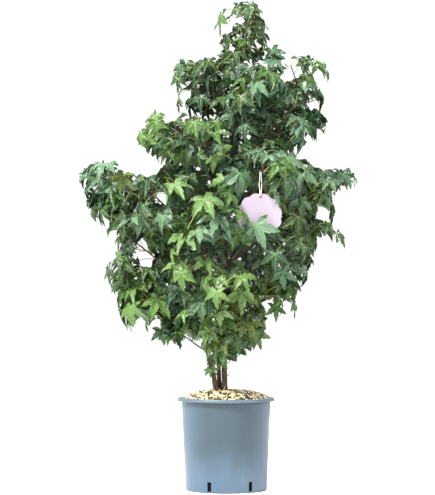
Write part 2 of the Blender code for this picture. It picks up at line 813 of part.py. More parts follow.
def loop_tube(points, radius, sides):
    """Return the corners and faces of a closed tube round a closed line, with its twist evened out."""
    count = len(points)
    steps = [(points[(k + 1) % count] - points[k]).normalized() for k in range(count)]
    alongs = [(steps[k - 1] + steps[k]).normalized() for k in range(count)]
    frames = [alongs[0].orthogonal().normalized()]
    for along in alongs[1:] + alongs[:1]:
        across = frames[-1] - along * frames[-1].dot(along)
        frames.append(across.normalized())
    twist = math.atan2(alongs[0].dot(frames[-1].cross(frames[0])), frames[-1].dot(frames[0]))
    verts = []
    for k, (point, along) in enumerate(zip(points, alongs)):
        for side in range(sides):
            turn = Matrix.Rotation(math.tau * side / sides + twist * k / count, 3, along)
            verts.append(point + turn @ frames[k] * radius)
    faces = []
    for k in range(count):
        near, far = k * sides, (k + 1) % count * sides
        for side in range(sides):
            ahead = (side + 1) % sides
            faces.append((near + side, near + ahead, far + ahead, far + side))
    return verts, faces


def tag_string_line(ring, along, hole):
    """Return the closed line of the string: through the tag's hole, up to the knot and round the twig.

    Each leg bends up beside the card, at a point that lies the bend's three
    lengths to the side of the hole, before or behind it, and above it.
    """
    side = along.cross(UP).normalized()
    over = side.cross(along)
    knot = ring - UP * KNOT_DROP
    front = Vector((0, -1, 0))
    middle = (knot + hole) / 2
    passing = hole + UP * (TAG_HOLE_RADIUS - GAP - STRING_RADIUS)
    bend = side * STRING_BEND[0] - front * STRING_BEND[1]
    spread = side * STRING_SPREAD - front * STRING_SPREAD_DEPTH
    entry = side * STRING_RADIUS * KNOT_ENTRY
    up = [passing - front * STRING_THROUGH, passing + UP * STRING_BEND[2] + bend, middle + spread, knot + entry]
    down = [knot - entry, middle - spread, passing + UP * STRING_BEND[2] - bend, passing + front * STRING_THROUGH]
    loop = []
    for k in range(STRING_LOOP_STEPS):
        share = k / (STRING_LOOP_STEPS - 1)
        angle = -STRING_LOOP_ENDS + (math.pi + 2 * STRING_LOOP_ENDS) * share
        loop.append(ring + (side * math.cos(angle) + over * math.sin(angle)) * STRING_LOOP_RADIUS)
    return up + loop + down


def make_tag(leader, card, cord):
    """Make the tag and its string, and return them with the search trees that foliage keeps clear of."""
    ring, along, _ = leader.place(TAG_PLACE)
    hole = ring - UP * TAG_DROP
    lean = Matrix.Rotation(TAG_TURN, 3, "Y")
    centre = hole - lean @ UP * TAG_HOLE_RISE
    disc = bmesh.new()
    rim = []
    count = TAG_SCALLOPS * TAG_SCALLOP_POINTS
    for k in range(count):
        angle = math.tau * k / count
        reach = TAG_RADIUS - TAG_SCALLOP_DEPTH * (1 - abs(math.sin(TAG_SCALLOPS * angle / 2)))
        rim.append(disc.verts.new((reach * math.cos(angle), -TAG_THICKNESS / 2, reach * math.sin(angle))))
    eye = []
    for k in range(TAG_HOLE_SIDES):
        angle = math.tau * k / TAG_HOLE_SIDES
        across, rise = TAG_HOLE_RADIUS * math.cos(angle), TAG_HOLE_RISE + TAG_HOLE_RADIUS * math.sin(angle)
        eye.append(disc.verts.new((across, -TAG_THICKNESS / 2, rise)))
    edges = [disc.edges.new(pair) for ends in (rim, eye) for pair in zip(ends, ends[1:] + ends[:1])]
    front = [f for f in bmesh.ops.triangle_fill(disc, edges=edges, use_beauty=True)["geom"]
             if isinstance(f, bmesh.types.BMFace)]
    back = bmesh.ops.extrude_face_region(disc, geom=front)["geom"]
    moved = [v for v in back if isinstance(v, bmesh.types.BMVert)]
    bmesh.ops.translate(disc, verts=moved, vec=(0, TAG_THICKNESS, 0))
    bmesh.ops.recalc_face_normals(disc, faces=disc.faces)
    bmesh.ops.transform(disc, verts=disc.verts, matrix=Matrix.Translation(centre) @ lean.to_4x4())
    tag = add_object("tag", disc, card, hole)

    line = tag_string_line(ring, along, hole)
    string = add_object("tag_string", as_bmesh(*loop_tube(line, STRING_RADIUS, STRING_SIDES)), cord)
    ball = bmesh.new()
    bmesh.ops.create_uvsphere(ball, u_segments=8, v_segments=6, radius=KNOT_RADIUS)
    bmesh.ops.translate(ball, verts=ball.verts, vec=ring - UP * KNOT_DROP)
    knot = add_object("tag_knot", ball, cord)
    join = string.modifiers.new("knot", "BOOLEAN")
    join.operation = "UNION"
    join.object = knot
    tied = bmesh.new()
    tied.from_object(string, bpy.context.evaluated_depsgraph_get())
    bpy.data.objects.remove(knot, do_unlink=True)
    bpy.data.objects.remove(string, do_unlink=True)
    string = add_object("tag_string", tied, cord, ring)

    away = TAG_RADIUS + LIMB_CLEARANCE
    plate = tube([centre + Vector((0, y, 0)) for y in (-2 * LIMB_CLEARANCE, 2 * LIMB_CLEARANCE)], [away] * 2, 16)
    low, high = centre.z - TAG_RADIUS * TAG_IN_VIEW, centre.z + TAG_RADIUS
    middle = Vector((centre.x, centre.y, (low + high) / 2))
    view = tube([middle, middle - Vector((0, TAG_VIEW_DEPTH, 0))], [(high - low) / 2] * 2, 8)
    rope = loop_tube(line, STRING_RADIUS + LIMB_CLEARANCE, STRING_SIDES)
    return [tag, string], [tree_of(*shape) for shape in (plate, view, rope)]


def make_crown(bark, green, card, cord):
    """Build the stems, the boughs, the tag and the masses of foliage."""
    stems = {stem.name: stem_limb(stem) for stem in STEMS}
    spaces = {mass.name: Space(mass, MASSES) for mass in MASSES}
    limbs = list(stems.values())
    leaders = {}
    carried = {stem.carries: stems[stem.name] for stem in STEMS}
    for mass in MASSES:
        space = spaces[mass.name]
        if mass.name in carried:
            root, below = carried[mass.name].points[-1], carried[mass.name].points[-2]
            ahead = (root - below).normalized()
            far = space.centre + UP * space.half.z * LINE_LIFT
            line = [root, root + ahead * (space.centre - root).length, far]
            leaders[mass.name] = mass_stem(line, 0, root + ahead * GAP, ahead)
        else:
            bough, leaders[mass.name] = grow_limb(mass, space, stems.values(), limbs)
            limbs += [bough] if bough else []
    pieces = []
    for limb in limbs:
        piece = add_object(limb.name, as_bmesh(limb.verts, limb.faces), bark, limb.points[0])
        shade_round(piece, 50)
        pieces.append(piece)
    tag_pieces, tag_trees = make_tag(leaders[TAG_MASS], card, cord)
    pieces += tag_pieces
    obstacles = [limb.grown(LIMB_CLEARANCE) for limb in limbs] + tag_trees
    sizes = {mass.name: mass.size() for mass in MASSES}
    for index, mass in enumerate(MASSES):
        foliage = Foliage(mass, spaces[mass.name], leaders[mass.name], obstacles, SEED + index)
        foliage.grow_twigs()
        share = sizes[mass.name] / mass.tier.leaf_scale ** 2 / sum(sizes.values())
        foliage.grow_leaves(round(LEAVES_IN_ALL * share))
        shapes = [(twig.verts, twig.faces) for twig in foliage.twigs] + foliage.leaves
        piece = fuse(mass.name, shapes, green, foliage.twigs[0].points[0])
        pieces.append(piece)
    return pieces


def main():
    """Build the whole part."""
    clear_scene()
    pot_plastic = finish("pot_plastic", POT_GREY_BLUE, 0.45)
    gravel = finish("gravel", GRAVEL_TAN, 0.9)
    bark = finish("bark", BARK_BROWN, 0.85)
    green = finish("leaf_green", LEAF_GREEN, 0.5)
    pieces = make_pot(pot_plastic)
    pieces.append(make_root_ball(gravel))
    card = finish("tag_card", CARD_PINK, 0.6)
    cord = finish("tag_cord", STRING_WHITE, 0.8)
    pieces += make_crown(bark, green, card, cord)
    plant = bpy.data.objects.new("sweetgum_in_pot", None)
    bpy.context.scene.collection.objects.link(plant)
    for piece in pieces:
        piece.parent = plant


main()
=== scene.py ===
"""The looks of a young sweetgum with three stems, in a round nursery pot topped with gravel.

Metres, +Z up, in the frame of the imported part. The side that faces -Y is the
front. The plant grows by the rule of the part's source, written again here and
carried on to finer twigs, with leaves near their true size.
"""

import json
import logging
import math
import random
from dataclasses import dataclass, field
from enum import Enum

import bpy
import numpy as np
from mathutils import Matrix, Vector, noise
from mathutils.bvhtree import BVHTree

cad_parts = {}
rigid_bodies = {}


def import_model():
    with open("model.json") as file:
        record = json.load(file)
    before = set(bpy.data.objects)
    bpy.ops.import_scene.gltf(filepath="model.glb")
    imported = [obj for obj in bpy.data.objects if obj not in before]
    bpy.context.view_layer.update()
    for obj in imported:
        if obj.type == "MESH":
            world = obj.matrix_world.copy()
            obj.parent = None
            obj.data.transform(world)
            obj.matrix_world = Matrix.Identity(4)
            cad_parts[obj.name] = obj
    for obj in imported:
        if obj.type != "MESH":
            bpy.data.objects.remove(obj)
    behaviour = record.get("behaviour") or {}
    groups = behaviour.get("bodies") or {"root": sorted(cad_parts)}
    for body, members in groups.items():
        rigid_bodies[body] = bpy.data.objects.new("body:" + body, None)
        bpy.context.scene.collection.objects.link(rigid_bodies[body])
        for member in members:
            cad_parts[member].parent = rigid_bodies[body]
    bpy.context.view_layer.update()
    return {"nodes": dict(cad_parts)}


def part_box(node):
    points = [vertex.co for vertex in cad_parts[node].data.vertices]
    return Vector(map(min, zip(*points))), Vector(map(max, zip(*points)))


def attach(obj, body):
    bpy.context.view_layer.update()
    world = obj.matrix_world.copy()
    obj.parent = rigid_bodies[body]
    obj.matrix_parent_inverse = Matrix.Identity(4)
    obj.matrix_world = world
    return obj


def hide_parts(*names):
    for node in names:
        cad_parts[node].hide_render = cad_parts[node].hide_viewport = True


LOG = logging.getLogger("sweetgum")
MM = 0.001
UP = Vector((0, 0, 1))
GAP = 0.3 * MM
POT_HEIGHT = 265 * MM
RIM_DEPTH = 9.4 * MM
MOUND_RISE = 18 * MM
GROUND = POT_HEIGHT + MOUND_RISE
CROOK_HEIGHT = GROUND + 52 * MM
CROOK_SPREAD = 30 * MM
CROOK_DEPTH = 5 * MM
BODY = "root"

Colour = tuple[float, float, float, float]


def paint(red: int, green: int, blue: int) -> Colour:
    """Turn a colour as a screen shows it into the light that it sends back.

    Args:
        red: Red, from 0 to 255.
        green: Green, from 0 to 255.
        blue: Blue, from 0 to 255.

    Returns:
        The colour as linear red, green, blue and a full alpha.
    """
    shares = [value / 255 for value in (red, green, blue)]
    linear = [s / 12.92 if s <= 0.04045 else ((s + 0.055) / 1.055) ** 2.4 for s in shares]
    return (linear[0], linear[1], linear[2], 1.0)


# Finishes


class Wire:
    """A value in a material's nodes, on which sums work as Math nodes."""

    def __init__(self, board: "Board", socket: bpy.types.NodeSocket) -> None:
        """Keep the board and the socket that the value comes from."""
        self.board = board
        self.socket = socket

    def _sum(self, operation: str, first: "Wire | float", second: "Wire | float") -> "Wire":
        """Add a Math node.

        Args:
            operation: The node's operation.
            first: Its first value.
            second: Its second value.

        Returns:
            The node's result.
        """
        return self.board.node("ShaderNodeMath", {"operation": operation}, {0: first, 1: second})

    def __add__(self, other: "Wire | float") -> "Wire":
        """Return the sum."""
        return self._sum("ADD", self, other)

    def __radd__(self, other: float) -> "Wire":
        """Return the sum."""
        return self._sum("ADD", other, self)

    def __sub__(self, other: "Wire | float") -> "Wire":
        """Return the difference."""
        return self._sum("SUBTRACT", self, other)

    def __rsub__(self, other: float) -> "Wire":
        """Return the difference the other way round."""
        return self._sum("SUBTRACT", other, self)

    def __mul__(self, other: "Wire | float") -> "Wire":
        """Return the product."""
        return self._sum("MULTIPLY", self, other)

    def __rmul__(self, other: float) -> "Wire":
        """Return the product."""
        return self._sum("MULTIPLY", other, self)

    def __truediv__(self, other: "Wire | float") -> "Wire":
        """Return the quotient."""
        return self._sum("DIVIDE", self, other)

    def __pow__(self, other: "Wire | float") -> "Wire":
        """Return the power."""
        return self._sum("POWER", self, other)


class Board:
    """The nodes of one material."""

    def __init__(self, name: str) -> None:
        """Start a material with its Principled shader."""
        self.material = bpy.data.materials.new(name)
        self.material.use_nodes = True
        self.tree = self.material.node_tree
        self.shader = self.tree.nodes["Principled BSDF"]

    def node(self, kind: str, settings: dict, inputs: dict, out: int | str = 0) -> Wire:
        """Add a node of any kind.

        Args:
            kind: The node's type.
            settings: Its properties.
            inputs: Values or wires for its inputs, by their number or name.
            out: The output to return.

        Returns:
            The chosen output.
        """
        made = self.tree.nodes.new(kind)
        for key, value in settings.items():
            setattr(made, key, value)
        for key, value in inputs.items():
            if isinstance(value, Wire):
                self.tree.links.new(value.socket, made.inputs[key])
            else:
                made.inputs[key].default_value = value
        return Wire(self, made.outputs[out])

    def place(self, stretch: tuple[float, float, float] = (1, 1, 1)) -> Wire:
        """Return the place on the piece, with the pattern's frequency along each axis."""
        here = self.node("ShaderNodeTexCoord", {}, {}, "Object")
        return self.node("ShaderNodeMapping", {}, {"Vector": here, "Scale": stretch})

    def noise(self, scale: float, detail: float = 3, stretch: tuple[float, float, float] = (1, 1, 1)) -> Wire:
        """Return a soft noise from 0 to 1.

        Args:
            scale: Its spots per metre.
            detail: How many finer layers it has.
            stretch: Its frequency along each axis, as a share of the scale.

        Returns:
            The noise.
        """
        inputs = {"Vector": self.place(stretch), "Scale": scale, "Detail": detail}
        return self.node("ShaderNodeTexNoise", {}, inputs, "Fac")

    def cells(self, scale: float) -> Wire:
        """Return the distance to the nearest of many scattered points, about 0 to 1."""
        return self.node("ShaderNodeTexVoronoi", {}, {"Vector": self.place(), "Scale": scale}, "Distance")

    def height(self) -> Wire:
        """Return the height over the floor, in metres."""
        here = self.node("ShaderNodeTexCoord", {}, {}, "Object")
        return self.node("ShaderNodeSeparateXYZ", {}, {0: here}, "Z")

    def apart(self) -> Wire:
        """Return how far a place lies to the left or the right of the middle, in metres."""
        here = self.node("ShaderNodeTexCoord", {}, {}, "Object")
        across = self.node("ShaderNodeSeparateXYZ", {}, {0: here}, "X")
        return self.node("ShaderNodeMath", {"operation": "ABSOLUTE"}, {0: across})

    def between(self, value: Wire, low: float, high: float) -> Wire:
        """Return 0 where the value is low, 1 where it is high, and a smooth step between."""
        inputs = {"Value": value, "From Min": low, "From Max": high}
        return self.node("ShaderNodeMapRange", {"interpolation_type": "SMOOTHSTEP"}, inputs)

    def blend(self, share: Wire, first: "Colour | Wire", second: "Colour | Wire") -> Wire:
        """Mix two colours.

        Args:
            share: How much of the second colour there is.
            first: The first colour.
            second: The second colour.

        Returns:
            The mixed colour.
        """
        return self.node("ShaderNodeMix", {"data_type": "RGBA"}, {0: share, 6: first, 7: second}, 2)

    def bump(self, relief: Wire, depth: float, strength: float = 1.0) -> None:
        """Dress the surface with a fine relief.

        Args:
            relief: Its height, from 0 to 1.
            depth: How deep it is, in metres.
            strength: How strongly it shows.
        """
        inputs = {"Height": relief, "Distance": depth, "Strength": strength}
        bumped = self.node("ShaderNodeBump", {}, inputs)
        self.tree.links.new(bumped.socket, self.shader.inputs["Normal"])

    def finish(self, **sockets: "Wire | float | Colour") -> bpy.types.Material:
        """Set the shader's sockets.

        Args:
            **sockets: Values or wires by the socket's name, in small letters and with a low line for a space.

        Returns:
            The finished material.
        """
        names = {socket.name.lower().replace(" ", "_"): socket for socket in self.shader.inputs}
        for key, value in sockets.items():
            if isinstance(value, Wire):
                self.tree.links.new(value.socket, names[key])
            else:
                names[key].default_value = value
        return self.material


@dataclass(frozen=True)
class PotPlastic:
    """Satin grey-blue plastic: greyer and darker high up in the middle as painted shade from the crown, a pale rim
    over a painted shadow line, dust and a painted contact-shadow line at its foot.
    """

    base: Colour = paint(63, 83, 101)
    pale: Colour = paint(79, 99, 116)
    # Painted shade: the greyer, darker colour that stands for the crown's shadow on the upper body.
    upper: Colour = paint(42, 57, 63)
    rim: Colour = paint(74, 89, 99)
    # Painted shadow: the dark colour of the line under the rim and of the line at the foot.
    painted_shadow: Colour = paint(20, 24, 26)
    dust: Colour = paint(106, 106, 98)
    foot_dust_height: float = 18 * MM
    # Painted shade of the crown's shadow: the heights over which it comes in, and the distances from the middle over
    # which it fades to the sides.
    crown_shadow_heights: tuple[float, float] = (0.02, 0.15)
    crown_shadow_sides: tuple[float, float] = (50 * MM, 130 * MM)
    # Painted shadow line on the wall just under the rim's skirt.
    rim_shadow_heights: tuple[float, float] = (POT_HEIGHT - 14 * MM, POT_HEIGHT - 11 * MM)
    rim_foot: float = POT_HEIGHT - RIM_DEPTH
    # Painted contact shadow: the heights of the dark line at the pot's foot.
    foot_shadow_line: tuple[float, float] = (0.8 * MM, 2.8 * MM)

    def material(self) -> bpy.types.Material:
        """Return the finished material."""
        board = Board("pot_plastic")
        clouds = board.between(board.noise(9, 4), 0.35, 0.7)
        streaks = board.between(board.noise(26, 3, (1, 1, 0.18)), 0.45, 0.75)
        colour = board.blend(clouds * 0.45 + streaks * 0.35, self.base, self.pale)
        # Painted shade: the crown's shadow, darker high up and strongest in the middle of the front and the back,
        # fading to the sides.
        crown_shadow = board.between(board.height() + board.noise(12, 3, (1, 1, 0.5)) * 0.08 - 0.04, *self.crown_shadow_heights)
        side = board.between(board.apart(), *self.crown_shadow_sides)
        colour = board.blend(crown_shadow * (0.85 - side * 0.6), colour, self.upper)
        # Painted shadow under the rim.
        colour = board.blend(board.between(board.height(), *self.rim_shadow_heights), colour, self.painted_shadow)
        colour = board.blend(board.between(board.height(), self.rim_foot - 0.2 * MM, self.rim_foot), colour, self.rim)
        low = 1 - board.between(board.height(), 0.0, self.foot_dust_height)
        specks = board.between(board.noise(160, 4), 0.5, 0.72)
        colour = board.blend(low * specks * 0.45 + specks * 0.06, colour, self.dust)
        # Painted contact shadow: a thin dark line at the foot.
        colour = board.blend(0.75 - board.between(board.height(), *self.foot_shadow_line) * 0.75, colour, self.painted_shadow)
        grain = board.noise(900, 2) * 0.6 + board.noise(60, 3, (1, 1, 0.3)) * 0.4
        board.bump(grain, 0.05 * MM, 0.5)
        return board.finish(base_color=colour, roughness=0.38 + clouds * 0.1 + specks * 0.08, specular_ior_level=0.42)


class PebbleTone(Enum):
    """The kinds of stone in the gravel, with their share of it and their two colours."""

    CREAM = (0.32, paint(204, 192, 150), paint(180, 164, 120))
    TAN = (0.20, paint(168, 148, 100), paint(140, 118, 74))
    WHITE = (0.16, paint(222, 218, 204), paint(196, 188, 166))
    OCHRE = (0.10, paint(132, 106, 62), paint(100, 76, 42))
    UMBER = (0.22, paint(52, 42, 28), paint(28, 22, 14))

    @property
    def share(self) -> float:
        """How much of the gravel is of this kind."""
        return self.value[0]

    def material(self) -> bpy.types.Material:
        """Return the finished material."""
        board = Board(f"pebble_{self.name.lower()}")
        spots = board.between(board.noise(420, 4), 0.38, 0.66)
        flecks = board.between(board.noise(1500, 2), 0.6, 0.75)
        colour = board.blend(spots, self.value[1], self.value[2])
        colour = board.blend(flecks * 0.35, colour, paint(70, 56, 42))
        board.bump(board.noise(1300, 3), 0.25 * MM, 0.6)
        return board.finish(base_color=colour, roughness=0.7 + spots * 0.2)


@dataclass(frozen=True)
class Soil:
    """Peaty soil with paler crumbs: dark in itself, and painted nearly black as painted shade for the inside of the
    drain slots and the gaps between the stones.
    """

    # Painted shade: both colours are nearly black, standing for the shade in the drain slots and between the stones as
    # well as the soil's own dark colour.
    dark: Colour = paint(9, 7, 6)
    pale: Colour = paint(22, 18, 14)

    def material(self) -> bpy.types.Material:
        """Return the finished material."""
        board = Board("soil")
        crumbs = board.between(board.cells(420), 0.15, 0.6)
        colour = board.blend(board.between(board.noise(300, 4), 0.4, 0.7), self.dark, self.pale)
        board.bump(crumbs, 1.2 * MM, 0.8)
        return board.finish(base_color=colour, roughness=0.95, specular_ior_level=0.08)


@dataclass(frozen=True)
class Bark:
    """Bark with long furrows: grey-brown at the foot of the stems and dark brown higher up."""

    ridge: Colour = paint(92, 76, 56)
    furrow: Colour = paint(34, 26, 19)
    upper: Colour = paint(62, 44, 32)
    upper_furrow: Colour = paint(28, 20, 15)
    old_below: float = GROUND + 0.02
    young_above: float = GROUND + 0.30

    def material(self) -> bpy.types.Material:
        """Return the finished material."""
        board = Board("bark")
        furrows = board.between(board.noise(330, 5, (1, 1, 0.16)), 0.36, 0.62)
        patches = board.between(board.noise(70, 3, (1, 1, 0.5)), 0.4, 0.65)
        old = board.blend(furrows * 0.8 + patches * 0.2, self.furrow, self.ridge)
        young = board.blend(furrows * 0.6 + patches * 0.4, self.upper_furrow, self.upper)
        colour = board.blend(board.between(board.height(), self.old_below, self.young_above), old, young)
        board.bump(furrows + board.noise(900, 2) * 0.3, 0.6 * MM, 0.8)
        return board.finish(base_color=colour, roughness=0.78 + furrows * 0.14, specular_ior_level=0.25)


@dataclass(frozen=True)
class TwigBark:
    """The smooth skin of young twigs, brown with a green cast and pale dots."""

    name: str = "twig_bark"
    base: Colour = paint(52, 37, 28)
    cast: Colour = paint(64, 60, 36)
    dots: Colour = paint(96, 84, 64)

    def material(self) -> bpy.types.Material:
        """Return the finished material."""
        board = Board(self.name)
        cast = board.between(board.noise(14, 2), 0.42, 0.62)
        dots = 1 - board.between(board.cells(520), 0.08, 0.2)
        colour = board.blend(dots * 0.5, board.blend(cast, self.base, self.cast), self.dots)
        board.bump(board.noise(700, 3, (1, 1, 0.3)), 0.2 * MM, 0.5)
        return board.finish(base_color=colour, roughness=0.6 + cast * 0.1)


class LeafTone(Enum):
    """The colours that leaves have, dealt out by spray."""

    DEEP = paint(36, 58, 20)
    INK = paint(34, 59, 34)
    BLUE = paint(56, 85, 60)
    GREY = paint(80, 107, 80)
    MID = paint(57, 86, 34)
    GRASS = paint(70, 99, 41)
    FRESH = paint(80, 106, 52)
    LIME = paint(80, 107, 56)
    OLIVE = paint(66, 80, 26)

    def material(self) -> bpy.types.Material:
        """Return the finished material: one plain base colour, puckered between the veins."""
        board = Board(f"leaf_{self.name.lower()}")
        board.bump(board.noise(120, 4), 4.5 * MM, 1.0)
        return board.finish(base_color=self.value, roughness=0.27, specular_ior_level=0.34)


@dataclass(frozen=True)
class PlainSkin:
    """The plain skin of stalks and veins."""

    name: str
    base: Colour
    roughness: float = 0.5

    def material(self) -> bpy.types.Material:
        """Return the finished material, of one plain base colour."""
        return Board(self.name).finish(base_color=self.base, roughness=self.roughness)


@dataclass(frozen=True)
class Card:
    """Matt pale card with a faint fibre."""

    base: Colour = paint(148, 140, 148)
    shade: Colour = paint(142, 129, 145)

    def material(self) -> bpy.types.Material:
        """Return the finished material."""
        board = Board("tag_card")
        fibre = board.between(board.noise(340, 4), 0.35, 0.65)
        wash = board.between(board.noise(24, 2), 0.35, 0.65)
        board.bump(fibre, 0.04 * MM, 0.5)
        return board.finish(base_color=board.blend(fibre * 0.3 + wash * 0.6, self.base, self.shade), roughness=0.52 + fibre * 0.1)


@dataclass(frozen=True)
class Cord:
    """White cotton cord with a fine twist."""

    base: Colour = paint(248, 248, 246)
    shade: Colour = paint(228, 228, 224)

    def material(self) -> bpy.types.Material:
        """Return the finished material."""
        board = Board("tag_cord")
        twist = board.between(board.noise(1400, 2, (1, 1, 0.6)), 0.3, 0.7)
        board.bump(twist, 0.2 * MM, 0.7)
        return board.finish(base_color=board.blend(twist, self.shade, self.base), roughness=0.85)


@dataclass(frozen=True)
class FloorPaint:
    """Plain pale floor."""

    base: Colour = (0.96, 0.96, 0.96, 1.0)

    def material(self) -> bpy.types.Material:
        """Return the finished material."""
        return Board("floor").finish(base_color=self.base, roughness=1.0, specular_ior_level=0.0)


# Shop tools


def clear_choice() -> None:
    """Leave edit mode and deselect everything."""
    if bpy.context.mode != "OBJECT":
        bpy.ops.object.mode_set(mode="OBJECT")
    bpy.ops.object.select_all(action="DESELECT")


def choose(piece: bpy.types.Object) -> None:
    """Make one piece the only selected and the active one."""
    clear_choice()
    piece.select_set(True)
    bpy.context.view_layer.objects.active = piece


def settle(piece: bpy.types.Object, smooth: float | None = 30) -> bpy.types.Object:
    """Put a piece's place into its mesh and shade it.

    Args:
        piece: The piece.
        smooth: The angle past which an edge stays sharp, or None for flat faces.

    Returns:
        The piece.
    """
    choose(piece)
    bpy.ops.object.transform_apply(location=True, rotation=True, scale=True)
    if smooth is not None:
        bpy.ops.object.shade_smooth_by_angle(angle=math.radians(smooth))
    return piece


def apply_all(piece: bpy.types.Object) -> None:
    """Apply a piece's modifiers in their order."""
    choose(piece)
    for modifier in list(piece.modifiers):
        bpy.ops.object.modifier_apply(modifier=modifier.name)


def turn_out(name: str, profile: list[tuple[float, float]], sides: int) -> bpy.types.Object:
    """Model a round closed piece from its foot up: a circle, extruded and resized ring by ring.

    Args:
        name: The piece's name.
        profile: Radius and height of each ring, from the middle of the underside round to the middle of the top.
        sides: The number of sides.

    Returns:
        The piece.
    """
    clear_choice()
    first = profile[0]
    bpy.ops.mesh.primitive_circle_add(vertices=sides, radius=first[0], location=(0, 0, first[1]), fill_type="NOTHING")
    piece = bpy.context.object
    piece.name = name
    bpy.ops.object.mode_set(mode="EDIT")
    bpy.ops.mesh.select_all(action="SELECT")
    bpy.ops.mesh.edge_face_add()
    bpy.ops.mesh.select_all(action="DESELECT")
    bpy.ops.mesh.select_mode(type="EDGE")
    bpy.ops.mesh.select_non_manifold()
    for (radius, height), (next_radius, next_height) in zip(profile, profile[1:]):
        rise = {"value": (0, 0, next_height - height)}
        bpy.ops.mesh.extrude_edges_move(TRANSFORM_OT_translate=rise)
        share = next_radius / radius
        bpy.ops.transform.resize(value=(share, share, 1), center_override=(0, 0, next_height))
    bpy.ops.mesh.edge_face_add()
    bpy.ops.mesh.select_all(action="SELECT")
    bpy.ops.mesh.normals_make_consistent(inside=False)
    bpy.ops.object.mode_set(mode="OBJECT")
    return settle(piece, None)


def join_arrays(name: str, verts: list[np.ndarray], faces: list[np.ndarray]) -> bpy.types.Object:
    """Make one mesh of many small shapes.

    Args:
        name: The piece's name.
        verts: The corners of each shape.
        faces: The triangles of each shape, counted from its own first corner.

    Returns:
        The piece.
    """
    starts = np.cumsum([0] + [len(v) for v in verts[:-1]])
    corners = np.concatenate(verts)
    triangles = np.concatenate([f + start for f, start in zip(faces, starts)])
    mesh = bpy.data.meshes.new(name)
    mesh.from_pydata(corners.tolist(), [], triangles.tolist())
    mesh.update()
    piece = bpy.data.objects.new(name, mesh)
    bpy.context.scene.collection.objects.link(piece)
    return piece


def tubes(name: str, lines: list["Line"], sides: int) -> bpy.types.Object:
    """Make round tapering rods along many lines, as one mesh.

    Args:
        name: The piece's name.
        lines: The lines, each with a radius at every point.
        sides: The number of sides of a rod, even and at least 4.

    Returns:
        The piece.
    """
    curve = bpy.data.curves.new(name, "CURVE")
    curve.dimensions = "3D"
    curve.bevel_depth = 1.0
    curve.bevel_resolution = (sides - 4) // 2
    curve.use_fill_caps = True
    for line in lines:
        spline = curve.splines.new("POLY")
        spline.points.add(len(line.points) - 1)
        for knot, point, radius in zip(spline.points, line.points, line.radii):
            knot.co = (*point, 1)
            knot.radius = radius
    piece = bpy.data.objects.new(name, curve)
    bpy.context.scene.collection.objects.link(piece)
    choose(piece)
    bpy.ops.object.convert(target="MESH")
    piece = bpy.context.object
    piece.name = name
    return piece


def dress(piece: bpy.types.Object, material: bpy.types.Material, slot: str, *nodes: str) -> bpy.types.Object:
    """Finish a piece: its material, its place on the body and what it stands for.

    Args:
        piece: The piece.
        material: Its finish.
        slot: The record's material slot; not used.
        *nodes: The CAD nodes that it stands for.

    Returns:
        The piece.
    """
    piece.data.materials.clear()
    piece.data.materials.append(material)
    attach(piece, BODY)
    if nodes:
        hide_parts(*nodes)
    LOG.info("%s: %d faces, stands for %d nodes", piece.name, len(piece.data.polygons), len(nodes))
    return piece


# Lines and the rule


def bezier(handles: list[Vector], share: float) -> Vector:
    """Return the point of a Bezier line at a share of its length."""
    points = list(handles)
    while len(points) > 1:
        points = [a.lerp(b, share) for a, b in zip(points, points[1:])]
    return points[0]


def outward(point: Vector) -> Vector:
    """Return the level way from the crown's axis to a point, or nothing close to the axis."""
    flat = Vector((point.x, point.y, 0))
    return flat.normalized() if flat.length > 30 * MM else Vector((0, 0, 0))


def crooked(point: Vector, stem: str) -> Vector:
    """Return a point of a stem's bark, which has a slight crook low down on the left stem."""
    if stem != "stem_left":
        return point
    rise = (point.z - CROOK_HEIGHT) / CROOK_SPREAD
    return point + Vector((CROOK_DEPTH * math.exp(-rise * rise), 0, 0))


def tube_frames(points: list[Vector], foot_normal: Vector | None = None) -> list[tuple[Vector, Vector]]:
    """Work out the ways along and across a line at each of its points.

    Args:
        points: The line's points.
        foot_normal: The way that the line leaves its foot, where that is fixed.

    Returns:
        The way along and a way across for each point.
    """
    steps = [(b - a).normalized() for a, b in zip(points, points[1:])]
    alongs = [steps[0]] + [(a + b).normalized() for a, b in zip(steps, steps[1:])] + [steps[-1]]
    if foot_normal is not None:
        alongs[0] = foot_normal
    across = alongs[0].orthogonal()
    frames = []
    for along in alongs:
        across = (across - along * across.dot(along)).normalized()
        frames.append((along, across))
    return frames


def shell(points: list[Vector], radii: list[float], sides: int, foot_normal: Vector | None = None) -> BVHTree:
    """Return a search tree of a closed tapering tube along the points.

    Args:
        points: The tube's middle line.
        radii: Its radius at each point.
        sides: The number of its sides.
        foot_normal: The way that its first ring faces, where that is fixed.

    Returns:
        The search tree.
    """
    verts = []
    for ring, (along, across) in enumerate(tube_frames(points, foot_normal)):
        other = along.cross(across)
        for k in range(sides):
            angle = math.tau * k / sides
            verts.append(points[ring] + (across * math.cos(angle) + other * math.sin(angle)) * radii[ring])
    faces = [tuple(reversed(range(sides)))]
    for ring in range(len(points) - 1):
        for k in range(sides):
            a = ring * sides + k
            b = ring * sides + (k + 1) % sides
            faces.append((a, b, b + sides, a + sides))
    faces.append(tuple(range((len(points) - 1) * sides, len(points) * sides)))
    return BVHTree.FromPolygons([tuple(v) for v in verts], faces)


